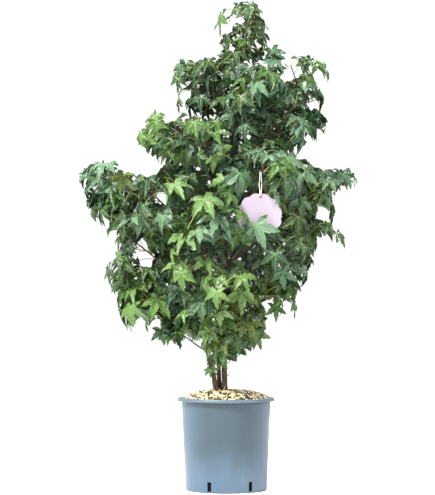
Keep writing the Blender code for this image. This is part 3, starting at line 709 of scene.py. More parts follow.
@dataclass
class Line:
    """A stem, bough, twig or stalk: the points it passes and its radius at each."""

    points: list[Vector]
    radii: list[float]

    @property
    def length(self) -> float:
        """The line's length."""
        return sum((b - a).length for a, b in zip(self.points, self.points[1:]))

    def at(self, share: float) -> tuple[Vector, Vector, float]:
        """Find a place on the line.

        Args:
            share: Its share of the length.

        Returns:
            The point, the way along and the radius.
        """
        left = share * self.length
        last = len(self.points) - 2
        for k in range(last + 1):
            step = self.points[k + 1] - self.points[k]
            if left <= step.length or k == last:
                part = min(1.0, left / step.length)
                radius = self.radii[k] * (1 - part) + self.radii[k + 1] * part
                return self.points[k] + step * part, step.normalized(), radius
            left -= step.length
        raise ValueError("a line has at least two points")

    def at_height(self, height: float) -> tuple[Vector, float]:
        """Return the line's point and radius at a height."""
        for k in range(len(self.points) - 1):
            low, high = self.points[k], self.points[k + 1]
            if low.z <= height <= high.z:
                share = (height - low.z) / (high.z - low.z)
                return low.lerp(high, share), self.radii[k] * (1 - share) + self.radii[k + 1] * share
        raise ValueError(f"the line doesn't reach {height}")

    def cut(self, share: float) -> "Line":
        """Return the line from its root to a share of its length."""
        end, _, radius = self.at(share)
        left = share * self.length
        points, radii = [self.points[0]], [self.radii[0]]
        for k in range(1, len(self.points)):
            left -= (self.points[k] - self.points[k - 1]).length
            if left <= 0:
                break
            points.append(self.points[k])
            radii.append(self.radii[k])
        if (end - points[-1]).length > 0.5 * MM or len(points) < 2:
            points.append(end)
            radii.append(radius)
        return Line(points, radii)

    def finer(self, spacing: float) -> "Line":
        """Return the line with a point every so many metres, on a smooth way through its own."""
        points, radii = [], []
        ends = [self.points[0] * 2 - self.points[1]] + self.points + [self.points[-1] * 2 - self.points[-2]]
        for k in range(len(self.points) - 1):
            a, b, c, d = ends[k:k + 4]
            count = max(1, round((c - b).length / spacing))
            for n in range(count):
                t = n / count
                way = (b * 2 + (c - a) * t + (a * 2 - b * 5 + c * 4 - d) * t * t + (b * 3 - a - c * 3 + d) * t ** 3) * 0.5
                points.append(way)
                radii.append(self.radii[k] * (1 - t) + self.radii[k + 1] * t)
        return Line(points + [self.points[-1]], radii + [self.radii[-1]])


@dataclass(frozen=True)
class Stem:
    """A stem: its foot on the ground, two handles its line bends to, the mass its tip carries, its radii."""

    name: str
    foot: tuple[float, float, float]
    low_handle: tuple[float, float, float]
    high_handle: tuple[float, float, float]
    carries: str
    foot_radius: float
    tip_radius: float


@dataclass(frozen=True)
class Tier:
    """One tier of the crown: masses of foliage in a ring about the stems, as in the part's source."""

    name: str
    height: float
    half_height: float
    left: float
    right: float
    depth: float
    count: int
    first_turn: float
    half_width: float
    leaf_scale: float = 1.0
    slope: float = 0.75
    stagger: float = 0.0
    tilt: float = 0.0
    on_boughs: bool = True

    def masses(self) -> list["Mass"]:
        """Place the tier's masses in a ring inside its reach."""
        middle = (self.left + self.right) / 2
        half_span = (self.right - self.left) / 2
        masses = []
        for k in range(self.count):
            turn = math.radians(self.first_turn) + math.tau * k / self.count
            across = middle + max(0, half_span - self.half_width) * math.cos(turn)
            away = max(0, self.depth - self.half_width) * math.sin(turn)
            name = f"foliage_{self.name}_{k + 1}" if self.count > 1 else f"foliage_{self.name}"
            half = Vector((min(self.half_width, half_span), min(self.half_width, self.depth), self.half_height))
            height = self.height + self.stagger * (k % 2 - 0.5) + self.tilt * math.cos(turn)
            masses.append(Mass(name, self, Vector((across, away, height)), half))
        return masses


@dataclass(frozen=True)
class Mass:
    """A mass of foliage: the tier it belongs to, its centre and its half sizes."""

    name: str
    tier: Tier
    centre: Vector
    half: Vector

    @property
    def size(self) -> float:
        """The square of the mass's mean radius."""
        return (self.half.x * self.half.y * self.half.z) ** (2 / 3)


@dataclass
class Space:
    """The room of one mass: a swollen ellipsoid cut flat towards its neighbours."""

    mass: Mass
    others: list[Mass]
    power: float = 3
    margin: float = 0.8 * MM
    walls: list[tuple[Vector, float]] = field(default_factory=list)

    def __post_init__(self) -> None:
        """Set up the walls towards the neighbours."""
        mass = self.mass
        for other in self.others:
            if other.name != mass.name:
                apart = other.centre - mass.centre
                level = other.centre.length_squared - mass.centre.length_squared + mass.size - other.size
                normal, distance = apart.normalized(), level / (2 * apart.length)
                if distance - normal.dot(mass.centre) < max(mass.half):
                    self.walls.append((normal, distance))

    def depth(self, point: Vector) -> float:
        """Return 0 at the centre and 1 at the skin."""
        away = point - self.mass.centre
        half = self.mass.half
        parts = (away.x / half.x, away.y / half.y, away.z / half.z)
        return sum(abs(part) ** self.power for part in parts) ** (1 / self.power)

    def holds(self, points: list[Vector], reach: float = 1.0, slack: float = 0.0) -> bool:
        """Tell whether points lie in the space.

        Args:
            points: The points.
            reach: How deep they may lie, with 1 at the skin.
            slack: How far they may pass a wall.

        Returns:
            Whether all of them do.
        """
        for point in points:
            if self.depth(point) > reach:
                return False
            for normal, distance in self.walls:
                if normal.dot(point) > distance - self.margin + slack:
                    return False
        return True


@dataclass
class Framework:
    """The stems and boughs, laid out by the rule of the part's source."""

    stems: tuple[Stem, ...] = (
        Stem("stem_left", (-0.0275, -0.004, GROUND), (-0.111, -0.02, 0.52), (0.0, 0.0, 0.86),
             "foliage_upper_3", 6.9 * MM, 2.3 * MM),
        Stem("stem_centre", (-0.0185, 0.016, GROUND), (-0.036, 0.03, 0.54), (0.03, 0.085, 0.84),
             "foliage_upper_1", 5.2 * MM, 2.2 * MM),
        Stem("stem_right", (-0.0045, -0.003, GROUND), (-0.008, -0.015, 0.66), (0.0, -0.01, 0.98),
             "foliage_top", 8.2 * MM, 2.3 * MM),
    )
    tiers: tuple[Tier, ...] = (
        Tier("top", 1.322, 0.110, -0.027, 0.130, 0.085, 1, 0, 0.085, 0.70),
        Tier("upper", 1.132, 0.105, -0.180, 0.312, 0.215, 4, 0, 0.125, 0.86, stagger=-60 * MM),
        Tier("high", 1.018, 0.110, -0.290, 0.330, 0.265, 4, 40, 0.145, 0.95, stagger=-40 * MM, tilt=50 * MM),
        Tier("middle", 0.855, 0.115, -0.450, 0.390, 0.320, 6, -7, 0.140, stagger=40 * MM),
        Tier("wide", 0.710, 0.110, -0.375, 0.370, 0.310, 6, 20, 0.140, stagger=-60 * MM),
        Tier("low", 0.565, 0.110, -0.355, 0.260, 0.270, 4, 0, 0.150, stagger=40 * MM),
        Tier("foot", 0.440, 0.090, -0.215, 0.150, 0.190, 3, -60, 0.110, stagger=20 * MM, on_boughs=False),
    )
    stem_rings: int = 12
    first_fork: float = 0.40
    last_fork: float = 0.02
    bough_rings: int = 4
    bough_tip_radius: float = 2.2 * MM
    bough_root_radius: float = 2.4 * MM
    swell_per_metre: float = 8.5 * MM
    collar_share: float = 0.35
    tip_drop: float = 0.65
    fork_slopes: tuple[float, ...] = (1.0, 0.8, 1.2, 0.6, 1.4)
    spread: float = 0.6
    lift: float = 0.6
    entry: float = 0.72
    clearance: float = 1.0 * MM
    leader_radius: float = 2.5 * MM
    leader_tip_radius: float = 1.6 * MM
    leader_rings: int = 4
    masses: list[Mass] = field(default_factory=list)
    spaces: dict[str, Space] = field(default_factory=dict)
    limbs: dict[str, Line] = field(default_factory=dict)
    feet: dict[str, Vector] = field(default_factory=dict)
    leaders: dict[str, Line] = field(default_factory=dict)

    def lay_out(self) -> None:
        """Work out the stems, then the bough and the leader of each mass."""
        self.masses = [mass for tier in self.tiers for mass in tier.masses()]
        self.spaces = {mass.name: Space(mass, self.masses) for mass in self.masses}
        for stem in self.stems:
            self.limbs[stem.name] = self._stem_line(stem)
            self.feet[stem.name] = UP
        carried = {stem.carries: stem.name for stem in self.stems}
        for mass in self.masses:
            if mass.name in carried:
                self._leader_on_tip(mass, self.limbs[carried[mass.name]])
            else:
                self._grow_limb(mass)

    def _stem_line(self, stem: Stem) -> Line:
        """Return a stem's line, from its foot to its tip."""
        mass = next(mass for mass in self.masses if mass.name == stem.carries)
        tip = mass.centre - UP * mass.half.z * self.tip_drop
        handles = [Vector(p) for p in (stem.foot, stem.low_handle, stem.high_handle)] + [tip]
        shares = [(k / (self.stem_rings - 1)) ** 1.4 for k in range(self.stem_rings)]
        points = [bezier(handles, share) for share in shares]
        radii = [stem.foot_radius + (stem.tip_radius - stem.foot_radius) * share for share in shares]
        return Line(points, radii)

    def _leader_on_tip(self, mass: Mass, stem: Line) -> None:
        """Grow the leader of a mass that a stem's tip carries."""
        root, below = stem.points[-1], stem.points[-2]
        ahead = (root - below).normalized()
        far = mass.centre + UP * mass.half.z * self.lift
        handles = [root, root + ahead * (mass.centre - root).length, far]
        self.leaders[mass.name] = self._leader(handles, 0, root + ahead * GAP)

    def _leader(self, handles: list[Vector], entry: float, root: Vector) -> Line:
        """Return a mass's leader.

        Args:
            handles: The line that it joins.
            entry: The share of the line at which it does.
            root: Where it starts.

        Returns:
            The leader.
        """
        shares = [entry + (1 - entry) * k / (self.leader_rings - 1) for k in range(1, self.leader_rings)]
        points = [root] + [bezier(handles, share) for share in shares]
        taper = [k / (len(points) - 1) for k in range(len(points))]
        return Line(points, [self.leader_radius * (1 - t) + self.leader_tip_radius * t for t in taper])

    def _forks(self, mass: Mass, slope: float) -> list[tuple[str, float]]:
        """List where a mass's bough could leave each stem, nearest first."""
        forks = []
        for stem in self.stems:
            line = self.limbs[stem.name]
            height = mass.centre.z
            for _ in range(3):
                top = line.points[-1].z - self.last_fork
                middle = line.at_height(max(self.first_fork, min(height, top)))[0]
                reach = math.hypot(mass.centre.x - middle.x, mass.centre.y - middle.y)
                height = mass.centre.z - slope * reach
            forks.append((reach, stem.name, middle.z))
        return [fork[1:] for fork in sorted(forks, key=lambda fork: fork[0])]

    def _limb_at(self, mass: Mass, stem: str, height: float) -> tuple[Line | None, Line, Vector, Vector]:
        """Work out a mass's bough and leader from a fork.

        Args:
            mass: The mass.
            stem: The stem's name.
            height: The fork's height.

        Returns:
            The bough, or None where it has none, the leader, and the ways that the limb and the leader start.
        """
        space = self.spaces[mass.name]
        middle, stem_radius = self.limbs[stem].at_height(height)
        away = mass.centre - middle
        away = Vector((away.x, away.y, 0)).normalized()
        root = middle + away * (stem_radius + GAP)
        aside = outward(mass.centre) * self.spread
        far = mass.centre + Vector((aside.x * mass.half.x, aside.y * mass.half.y, self.lift * mass.half.z))
        handles = [root, mass.centre * 2 - (root + far) * 0.5, far]
        if not mass.tier.on_boughs:
            return None, self._leader(handles, 0, root), away, away
        entry = next(k / 200 for k in range(1, 200) if space.holds([bezier(handles, k / 200)], self.entry))
        taper = [k / (self.bough_rings - 1) for k in range(self.bough_rings)]
        points = [bezier(handles, entry * share) for share in taper]
        length = sum((b - a).length for a, b in zip(points, points[1:]))
        root_radius = min(self.bough_root_radius + self.swell_per_metre * length, 0.8 * stem_radius)
        radii = [root_radius + (self.bough_tip_radius - root_radius) * share for share in taper]
        ahead = (bezier(handles, entry + 0.01) - points[-1]).normalized()
        return Line(points, radii), self._leader(handles, entry, points[-1] + ahead * GAP), away, ahead

    def _grow_limb(self, mass: Mass) -> None:
        """Take the first fork from which the bough and the leader pass clear of the other limbs."""
        for share in self.fork_slopes:
            for stem, height in self._forks(mass, mass.tier.slope * share):
                bough, leader, away, ahead = self._limb_at(mass, stem, height)
                if self._is_clear(bough, leader, (away, ahead), stem):
                    self.leaders[mass.name] = leader
                    if bough:
                        name = mass.name.replace("foliage", "bough")
                        self.limbs[name] = bough
                        self.feet[name] = away
                    return
        raise ValueError(f"{mass.name} has no clear way from a stem")

    def _is_clear(self, bough: Line | None, leader: Line, ways: tuple[Vector, Vector], stem: str) -> bool:
        """Tell whether a new limb meets no other.

        Args:
            bough: The bough, or None.
            leader: The leader.
            ways: The ways that the bough and the leader start.
            stem: The name of the stem that they grow from.

        Returns:
            Whether both pass clear.
        """
        trees = []
        for name, limb in self.limbs.items():
            extra = 0.0 if name == stem else self.clearance
            points = list(limb.points)
            points[0] = points[0] - (points[1] - points[0]).normalized() * extra
            points[-1] = points[-1] + (points[-1] - points[-2]).normalized() * extra
            sides = 8 if name.startswith("stem") else 5
            foot = self.feet[name] if extra == 0 else None
            trees.append(shell(points, [radius + extra for radius in limb.radii], sides, foot))
        shapes = [shell(leader.points, leader.radii, 3, ways[1])]
        if bough:
            shapes.append(shell(bough.points, bough.radii, 5, ways[0]))
        return not any(shape.overlap(tree) for shape in shapes for tree in trees)


# Studio


@dataclass(frozen=True)
class Viewpoint:
    """Where the photograph was taken from, and what it takes in."""

    eye: tuple[float, float, float] = (-0.025, -5.2, 0.55)
    aim: tuple[float, float, float] = (-0.025, 0.0, 0.697)
    lens: float = 131.0

    def camera(self) -> None:
        """Set up the camera."""
        clear_choice()
        bpy.ops.object.camera_add(location=self.eye)
        camera = bpy.context.object
        camera.name = "viewpoint"
        camera.rotation_euler = (Vector(self.aim) - Vector(self.eye)).to_track_quat("-Z", "Y").to_euler()
        camera.data.lens = self.lens
        camera.data.sensor_width = 36
        camera.data.clip_end = 60
        bpy.context.scene.camera = camera

    def seen(self, point: Vector) -> tuple[float, float]:
        """Return where a point shows on the upright plane through the pot's axis."""
        share = self.eye[1] / (self.eye[1] - point.y)
        across = self.eye[0] + (point.x - self.eye[0]) * share
        return across, self.eye[2] + (point.z - self.eye[2]) * share


@dataclass(frozen=True)
class Lamp:
    """A round soft light: its place, its power and its width."""

    name: str
    place: tuple[float, float, float]
    power: float
    width: float

    def hang(self) -> None:
        """Hang the light and aim it at the plant."""
        bpy.ops.object.light_add(type="AREA", location=self.place)
        lamp = bpy.context.object
        lamp.name = self.name
        lamp.data.shape = "DISK"
        lamp.data.size = self.width
        lamp.data.energy = self.power
        lamp.rotation_euler = (Vector((0, 0, 0.75)) - Vector(self.place)).to_track_quat("-Z", "Y").to_euler()


@dataclass(frozen=True)
class Studio:
    """A plain pale floor and plain soft light, most of it from the front and the left."""

    floor_size: float = 30.0
    sky: float = 1.06
    lamps: tuple[Lamp, ...] = (
        Lamp("key_light", (-2.3, -2.8, 4.5), 820.0, 1.4),
        Lamp("fill_light", (3.0, -3.0, 3.4), 60.0, 0.8),
        Lamp("back_light", (1.6, 3.6, 3.8), 220.0, 2.0),
    )

    def build(self) -> None:
        """Lay the floor and hang the lights."""
        clear_choice()
        bpy.ops.mesh.primitive_plane_add(size=self.floor_size, location=(0, 0, 0))
        floor = bpy.context.object
        floor.name = "floor"
        bpy.ops.object.mode_set(mode="EDIT")
        bpy.ops.mesh.subdivide(number_cuts=3)
        bpy.ops.object.mode_set(mode="OBJECT")
        floor.data.materials.append(FloorPaint().material())
        world = bpy.data.worlds.new("soft_sky")
        world.use_nodes = True
        world.node_tree.nodes["Background"].inputs["Color"].default_value = (1, 1, 1, 1)
        world.node_tree.nodes["Background"].inputs["Strength"].default_value = self.sky
        bpy.context.scene.world = world
        for lamp in self.lamps:
            lamp.hang()
        bpy.context.scene.view_settings.view_transform = "Standard"


# Pot and gravel


@dataclass
class Pot:
    """The nursery pot: a tapered wall, a rim that turns out and down, and drain slots at its foot."""

    foot_radius: float = 116.6 * MM
    neck_radius: float = 129 * MM
    rim_radius: float = 140 * MM
    rim_depth: float = RIM_DEPTH
    wall: float = 2.6 * MM
    floor: float = 3 * MM
    chamfer: float = 2 * MM
    sides: int = 120
    slot_count: int = 6
    slot_width: float = 12 * MM
    slot_foot: float = 5 * MM
    slot_height: float = 27 * MM
    slot_turn: float = math.radians(-24.3)

    def radius(self, height: float) -> float:
        """Return the wall's outer radius at a height."""
        return self.foot_radius + (self.neck_radius - self.foot_radius) * height / POT_HEIGHT

    def build(self) -> None:
        """Turn the shell, cut the drain slots, round the edges and dress it."""
        skirt = POT_HEIGHT - self.rim_depth
        flange = POT_HEIGHT - self.wall
        lip = 0.8 * MM
        profile = [
            (self.foot_radius - 3 * self.chamfer, 0),
            (self.foot_radius - self.chamfer, 0.2 * MM),
            (self.radius(self.chamfer), self.chamfer * 1.2),
            (self.radius(60 * MM), 60 * MM),
            (self.radius(150 * MM), 150 * MM),
            (self.radius(flange - 3 * MM), flange - 3 * MM),
            (self.radius(flange) + 2 * MM, flange),
            (self.rim_radius - self.wall - lip, flange),
            (self.rim_radius - self.wall, flange - lip),
            (self.rim_radius - self.wall, skirt),
            (self.rim_radius - lip, skirt),
            (self.rim_radius, skirt + lip),
            (self.rim_radius - 0.3 * MM, POT_HEIGHT - 2 * self.chamfer),
            (self.rim_radius - 0.9 * MM, POT_HEIGHT - self.chamfer),
            (self.rim_radius - 2.4 * MM, POT_HEIGHT - 0.4 * MM),
            (self.rim_radius - 2 * self.chamfer, POT_HEIGHT),
            (self.radius(POT_HEIGHT) - self.wall + lip, POT_HEIGHT),
            (self.radius(POT_HEIGHT) - self.wall, POT_HEIGHT - lip),
            (self.radius(self.floor) - self.wall, self.floor),
            (60 * MM, self.floor),
        ]
        pot = turn_out("nursery_pot", profile, self.sides)
        cutter = self._slot_cutter()
        slots = pot.modifiers.new("drain_slots", "BOOLEAN")
        slots.operation = "DIFFERENCE"
        slots.object = cutter
        slots.solver = "EXACT"
        apply_all(pot)
        bpy.data.objects.remove(cutter)
        settle(pot, 28)
        dress(pot, PotPlastic().material(), "pot_plastic", "pot")

    def _slot_cutter(self) -> bpy.types.Object:
        """Model one slot's cutter and copy it round the foot."""
        clear_choice()
        middle = (0, -self.radius(self.slot_height / 2), self.slot_foot + self.slot_height / 2)
        bpy.ops.mesh.primitive_cube_add(size=1, location=middle)
        first = bpy.context.object
        first.scale = (self.slot_width, 8 * self.wall, self.slot_height)
        bpy.ops.object.transform_apply(location=True, rotation=True, scale=True)
        bpy.ops.object.mode_set(mode="EDIT")
        bpy.ops.mesh.select_all(action="DESELECT")
        bpy.ops.object.mode_set(mode="OBJECT")
        for edge in first.data.edges:
            ends = [first.data.vertices[k].co for k in edge.vertices]
            edge.select = abs(ends[0].y - ends[1].y) > self.wall
        bpy.ops.object.mode_set(mode="EDIT")
        bpy.ops.mesh.select_mode(type="EDGE")
        bpy.ops.mesh.bevel(offset=1.2 * MM, segments=3)
        bpy.ops.object.mode_set(mode="OBJECT")
        copies = [first]
        for k in range(1, self.slot_count):
            twin = first.copy()
            twin.data = first.data.copy()
            bpy.context.scene.collection.objects.link(twin)
            copies.append(twin)
        for k, copy in enumerate(copies):
            copy.rotation_euler.z = self.slot_turn + math.tau * k / self.slot_count
        clear_choice()
        for copy in copies:
            copy.select_set(True)
        bpy.context.view_layer.objects.active = first
        bpy.ops.object.join()
        bpy.ops.object.transform_apply(location=True, rotation=True, scale=True)
        first.name = "slot_cutter"
        return first


@dataclass
class GravelBed:
    """The filled inside of the pot: soil, and a mound of small stones over it."""

    pot: Pot
    stems: list[tuple[Vector, float]]
    edge_drop: float = 3 * MM
    pad_radius: float = 52 * MM
    rings: int = 14
    lump: float = 1.6 * MM
    stone_count: int = 1750
    stone_size: tuple[float, float] = (3.0 * MM, 5.6 * MM)
    fallen: tuple[tuple[float, float, float, float], ...] = (
        (-1.75, 30 * MM, 24 * MM, 0.7), (-2.1, 34 * MM, 20 * MM, 0.25), (-1.4, 40 * MM, 26 * MM, 0.1),
        (-2.5, 44 * MM, 22 * MM, 0.15), (-1.0, 36 * MM, 18 * MM, 0.2), (0.6, 60 * MM, 24 * MM, 0.1),
        (2.4, 55 * MM, 22 * MM, 0.12),
    )
    seed: int = 11

    @property
    def edge(self) -> float:
        """The height at which the gravel meets the wall."""
        return POT_HEIGHT - self.edge_drop

    @property
    def rim(self) -> float:
        """The radius at which the gravel meets the wall."""
        return self.pot.radius(self.edge) - self.pot.wall - GAP

    def top(self, radius: float) -> float:
        """Return the mound's height at a distance from the axis."""
        share = min(1.0, max(0.0, (self.rim - radius) / (self.rim - self.pad_radius)))
        return self.edge + (GROUND - GAP - self.edge) * math.sin(share * math.pi / 2) ** 0.8

    def build(self) -> None:
        """Model the soil, lay the stones on it and drop a few dry leaf stalks at the stems' foot."""
        self._soil()
        self._stones()
        dice = random.Random(self.seed)
        lines = []
        for turn, reach, length, slant in self.fallen:
            middle = Vector((math.cos(turn) * reach, math.sin(turn) * reach, 0))
            middle.z = self.top(reach) + 1.5 * MM + math.sin(slant) * length / 2
            heading = dice.uniform(0, math.pi)
            half = Vector((math.cos(heading), math.sin(heading) * 0.4, 0)).normalized() * math.cos(slant) * length / 2
            half.z = math.sin(slant) * length / 2
            lines.append(Line([middle - half, middle + UP * MM, middle + half], [0.8 * MM, 0.9 * MM, 0.6 * MM]))
        stalks = settle(tubes("fallen_stalks", lines, 6), 60)
        dress(stalks, PlainSkin("dry_stalk", paint(206, 200, 140), 0.6).material(), "gravel", "root_ball")

    def _soil(self) -> None:
        """Turn the root ball with a crumbly top."""
        inset = self.pot.wall + GAP
        floor = self.pot.floor + GAP
        sink = 2.5 * MM
        profile = [(60 * MM, floor), (self.pot.radius(floor) - inset, floor)]
        profile += [(self.pot.radius(h) - inset, h) for h in (12 * MM, 22 * MM, 34 * MM, 120 * MM, self.edge - sink)]
        for k in range(1, self.rings + 1):
            radius = self.rim * (1 - k / (self.rings + 1))
            profile.append((radius, self.top(radius) - sink))
        soil = turn_out("potting_soil", profile, 96)
        for corner in soil.data.vertices:
            spot = corner.co
            reach = math.hypot(spot.x, spot.y)
            if spot.z > self.edge - 2 * sink:
                spot.z += noise.noise(spot * 160) * self.lump
            elif spot.z < 40 * MM and reach > 100 * MM:
                pull = 1 - (1.0 + noise.noise(spot * 260)) * 0.9 * MM / reach
                spot.x *= pull
                spot.y *= pull
        settle(soil, 40)
        dress(soil, Soil().material(), "gravel", "root_ball")

    def _stone_moulds(self, dice: random.Random) -> list[tuple[np.ndarray, np.ndarray]]:
        """Model a few stones, each a rounded broken lump of unit size."""
        moulds = []
        for k in range(7):
            clear_choice()
            bpy.ops.mesh.primitive_ico_sphere_add(subdivisions=2, radius=1)
            stone = bpy.context.object
            for corner in stone.data.vertices:
                spot = corner.co.copy()
                corner.co = spot * (1 + 0.34 * noise.noise(spot * 1.1 + Vector((k * 7.3, 0, 0))))
            for _ in range(3):
                cut = Vector((dice.uniform(-1, 1), dice.uniform(-1, 1), dice.uniform(-1, 1))).normalized()
                for corner in stone.data.vertices:
                    over = corner.co.dot(cut) - 0.72
                    if over > 0:
                        corner.co -= cut * over * 0.9
            corners = np.array([v.co[:] for v in stone.data.vertices])
            faces = np.array([p.vertices[:] for p in stone.data.polygons])
            moulds.append((corners, faces))
            bpy.data.objects.remove(stone)
        return moulds

    def _stones(self) -> None:
        """Scatter the stones over the mound, dealt into their tones."""
        dice = random.Random(self.seed)
        moulds = self._stone_moulds(dice)
        tones = list(PebbleTone)
        lots: dict[PebbleTone, list] = {tone: [] for tone in tones}
        for k in range(self.stone_count):
            radius = self.rim * math.sqrt((k + dice.random()) / self.stone_count)
            turn = k * 2.39996 + dice.uniform(-0.2, 0.2)
            size = dice.uniform(*self.stone_size)
            radius = min(radius, self.rim - size * 1.1)
            spot = Vector((radius * math.cos(turn), radius * math.sin(turn), 0))
            if any((Vector((foot.x, foot.y, 0)) - spot).length < reach + size * 0.6 for foot, reach in self.stems):
                continue
            spot.z = self.top(radius) + dice.uniform(-0.6, 0.3) * size
            shape = (size * dice.uniform(0.9, 1.6), size * dice.uniform(0.6, 0.95), size * dice.uniform(0.4, 0.75))
            tilt = Matrix.Rotation(dice.uniform(-0.7, 0.7), 3, "X") @ Matrix.Rotation(dice.uniform(-0.7, 0.7), 3, "Y")
            spin = np.array(tilt @ Matrix.Rotation(dice.uniform(0, math.tau), 3, "Z"))
            corners, faces = moulds[dice.randrange(len(moulds))]
            tone = dice.choices(tones, [tone.share for tone in tones])[0]
            lots[tone].append(((corners * np.array(shape)) @ spin.T + np.array(spot), faces))
        for tone, lot in lots.items():
            piece = join_arrays(f"gravel_{tone.name.lower()}", [c for c, _ in lot], [f for _, f in lot])
            settle(piece, 38)
            dress(piece, tone.material(), "gravel", "root_ball")


# Crown


@dataclass(frozen=True)
class LeafMould:
    """A star-shaped blade of unit length: the ways and lengths of its lobes, and their margin."""

    ways: tuple[float, ...] = (-114, -56, 0, 56, 114)
    reaches: tuple[float, ...] = (0.60, 0.93, 1.0, 0.93, 0.60)
    bays: tuple[float, ...] = (0.34, 0.38, 0.38, 0.34)
    spine: tuple[float, ...] = (0.30, 0.56, 0.80)
    margin: tuple[tuple[float, float], ...] = ((0.60, 0.190), (0.69, 0.112), (0.82, 0.098))
    heel: tuple[float, float] = (0.16, 158)

    def sheet(self) -> "LeafSheet":
        """Lay out the blade's corners, triangles and veins."""
        flat: list[tuple[float, float]] = [(0.0, 0.0)]
        ridge: list[float] = [0.0]
        offset: list[float] = [0.0]
        lobe_of: list[int] = [2]
        faces: list[tuple[int, int, int]] = []
        veins: list[list[int]] = []

        def corner(way: float, along: float, aside: float, fold: float, lobe: int) -> int:
            turn = math.radians(way)
            x = math.sin(turn) * along + math.cos(turn) * aside
            y = math.cos(turn) * along - math.sin(turn) * aside
            flat.append((x, y))
            ridge.append(fold)
            offset.append(aside)
            lobe_of.append(lobe)
            return len(flat) - 1

        bay_corners = [corner(-self.heel[1], self.heel[0], 0, 0.6, 0)]
        for k, bay in enumerate(self.bays):
            middle = (self.ways[k] + self.ways[k + 1]) / 2
            bay_corners.append(corner(middle, bay, 0, 1.0, k))
        bay_corners.append(corner(self.heel[1], self.heel[0], 0, 0.6, 4))
        for lobe, (way, reach) in enumerate(zip(self.ways, self.reaches)):
            spine = [corner(way, share * reach, 0, 0, lobe) for share in self.spine]
            tip = corner(way, reach, 0, 0.1, lobe)
            veins.append([0] + spine + [tip])
            for side in (-1, 1):
                bay = bay_corners[lobe + (1 if side > 0 else 0)]
                width = 1.0 if reach > 0.8 else 0.8
                edge = [corner(way, a * reach, side * b * width, 0.8, lobe) for a, b in self.margin]
                fan = [
                    (0, spine[0], bay), (spine[0], spine[1], bay), (spine[1], edge[0], bay),
                    (spine[1], spine[2], edge[0]), (spine[2], edge[1], edge[0]),
                    (spine[2], edge[2], edge[1]), (spine[2], tip, edge[2]),
                ]
                faces += [f if side < 0 else (f[0], f[2], f[1]) for f in fan]
        parts = (np.array(part) for part in (flat, ridge, offset, lobe_of, faces))
        return LeafSheet(*parts, veins)


@dataclass
class LeafSheet:
    """A blade laid flat: its corners, how each lies to its vein, its lobe, its triangles and its veins."""

    flat: np.ndarray
    ridge: np.ndarray
    offset: np.ndarray
    lobe: np.ndarray
    faces: np.ndarray
    veins: list[list[int]]

    def heights(self, bow: "Bow") -> np.ndarray:
        """Return how far each corner lies over the blade's plane, when the blade is bowed."""
        reach = np.hypot(self.flat[:, 0], self.flat[:, 1])
        rise = bow.fold * self.ridge * np.minimum(1, reach / 0.4) + bow.twists[self.lobe] * self.offset
        rise = rise + bow.roll * self.flat[:, 0] * self.flat[:, 1] + bow.ripple[:len(reach)] * np.minimum(1, reach * 2)
        return rise - (bow.curl + bow.bends[self.lobe]) * reach ** 2


